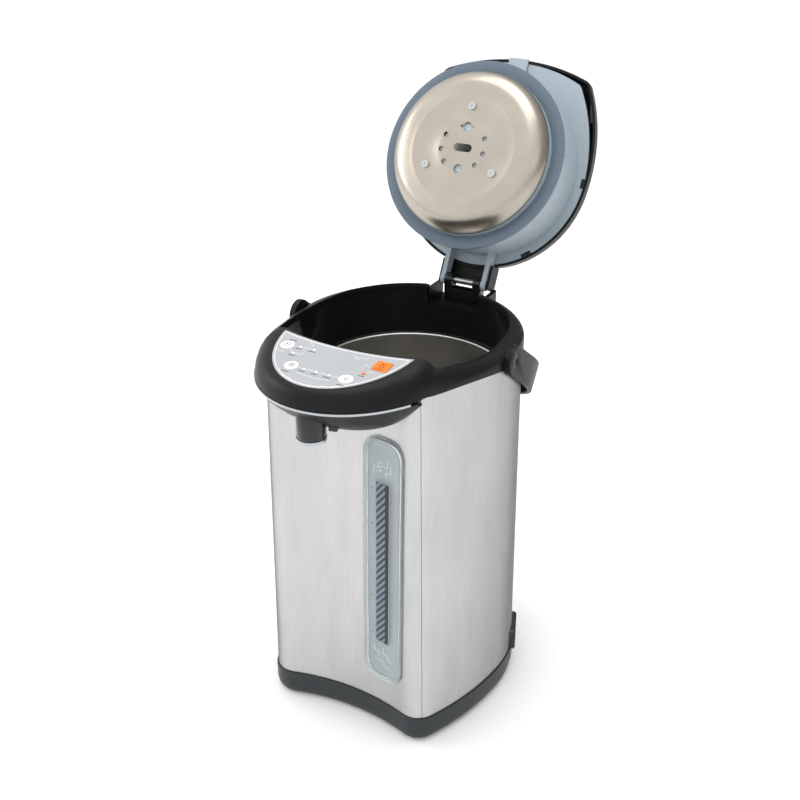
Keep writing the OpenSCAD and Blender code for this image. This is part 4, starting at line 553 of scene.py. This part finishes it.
# orange cap over the lamp beside the dispense key
cap = {"at": (31.6, -116.8, 0.3), "radius": 0.00135, "thick": 0.0006, "edge": 0.00015}
bpy.ops.object.select_all(action="DESELECT")
bpy.ops.mesh.primitive_cylinder_add(radius=cap["radius"], depth=cap["thick"], vertices=64,
                                    location=onPanel(*cap["at"]), rotation=(math.atan(panel["slope"]), 0, 0))
settlePiece(bpy.context.object, "orangeLampCap", "orangeKey", "control_panel", cap["edge"])
print("panel printed")

# gauge window: printed slot and level dots on the lens, which leans with the sheet
gauge = {"x": 0.0345, "y": -0.0916094, "turn": -10.6295, "lean": 0.8212, "pivot": 0.300, "face": -0.0025165}


def onGauge(x, y, z):
    leanAngle, turnAngle = math.radians(-gauge["lean"]), math.radians(gauge["turn"])
    up = z - gauge["pivot"]
    deep = y * math.cos(leanAngle) - up * math.sin(leanAngle)
    height = y * math.sin(leanAngle) + up * math.cos(leanAngle)
    return (gauge["x"] + x * math.cos(turnAngle) - deep * math.sin(turnAngle),
            gauge["y"] + x * math.sin(turnAngle) + deep * math.cos(turnAngle), gauge["pivot"] + height)


# thin plate with softened edges, laid into the lens's dish
def platePiece(name, halfWide, low, high, depth, finish, x=0.0):
    plate = addBox((x, gauge["face"] - depth / 2, (low + high) / 2), (2 * halfWide, depth, high - low))
    settlePiece(plate, name, finish, "gauge_lens", 0.0004, reshape=lambda point: onGauge(*point))


platePiece("gaugeSlotEdge", 0.0072, 0.0888, 0.2402, 0.00012, "silverInk")
platePiece("gaugeSlotPrint", 0.0063, 0.0897, 0.2393, 0.00024, "strip")
dots = {"heights": (0.2326, 0.1998, 0.167, 0.132, 0.0957), "half": 0.0005, "thick": 0.0002, "x": -0.0108}
for number, height in enumerate(dots["heights"]):
    platePiece("levelDot" + str(number), dots["half"], height - dots["half"], height + dots["half"], dots["thick"],
               "greyInk", dots["x"])

# fine stepped lines above and below the slot
lensLines = [
    [(-9, 246), (-9, 252), (-4, 252), (-4, 257), (1, 257)],
    [(-7, 249), (-2, 249), (-2, 254), (5, 254), (5, 260)],
    [(3, 246), (3, 250), (8, 250), (8, 256)], [(-8, 84), (-8, 79), (-3, 79), (-3, 74)],
    [(1, 84), (1, 78), (6, 78), (6, 73), (9, 73)], [(-5, 70), (2, 70), (2, 66), (7, 66)],
]
lensDeep = gauge["face"] - 0.00004
drawLines("gaugeLensLines", [
    [onGauge(x / 1000, lensDeep, z / 1000) for x, z in line] for line in lensLines], 0.16,
          finishes["whiteInk"], bodyOf("gauge_lens"))
print("gauge printed")

# pieces of the lid are drawn with it shut and then swung open
hinge = Vector((0, 0.110, 0.3284))


def swingOpen(point):
    return hinge + Matrix.Rotation(math.radians(-lidOpen), 3, "X") @ (point - hinge)


# snap pockets in the lid's rim: place and half length in millimetres, turn in degrees
pocket = {"z": 0.33525, "wide": 0.003, "thick": 0.0006, "edge": 0.0002}
pockets = [(76.3, -51.0, 80, 9.0), (82.7, 9.7, 90, 4.0), (47.3, 76.6, -35, 4.5), (-47.9, 76.2, 36, 4.5)]
for number, (px, py, turn, half) in enumerate(pockets):
    box = addBox((px / 1000, py / 1000, pocket["z"]), (2 * half / 1000, pocket["wide"], pocket["thick"]), turn)
    settlePiece(box, "snapPocket" + str(number), "black", "lid_liner", pocket["edge"], 2, swingOpen)

# pale steam baffle behind the plate's holes, round the duct
baffle = {"radius": 0.0158, "half": 0.0057, "z": 0.2651, "squash": 0.0614}
bpy.ops.object.select_all(action="DESELECT")
bpy.ops.mesh.primitive_torus_add(major_radius=baffle["radius"], minor_radius=baffle["half"], major_segments=96,
                                 minor_segments=16, location=(0, potAxis, baffle["z"]))
ring = bpy.context.object
ring.scale = (1, 1, baffle["squash"])
settlePiece(ring, "steamBaffle", "backing", "lid_plate", reshape=swingOpen, smooth=50)
print("lid rim dressed")

# moulded lug under the chin, beside the nozzle
lug = {"at": (0.016, -0.1335, 0.3007), "size": (0.0065, 0.004, 0.0045), "turn": 12, "edge": 0.0007}
settlePiece(addBox(lug["at"], lug["size"], lug["turn"]), "chinLug", "black", "spout_chin",
            lug["edge"], 4)
print("chin lug set")
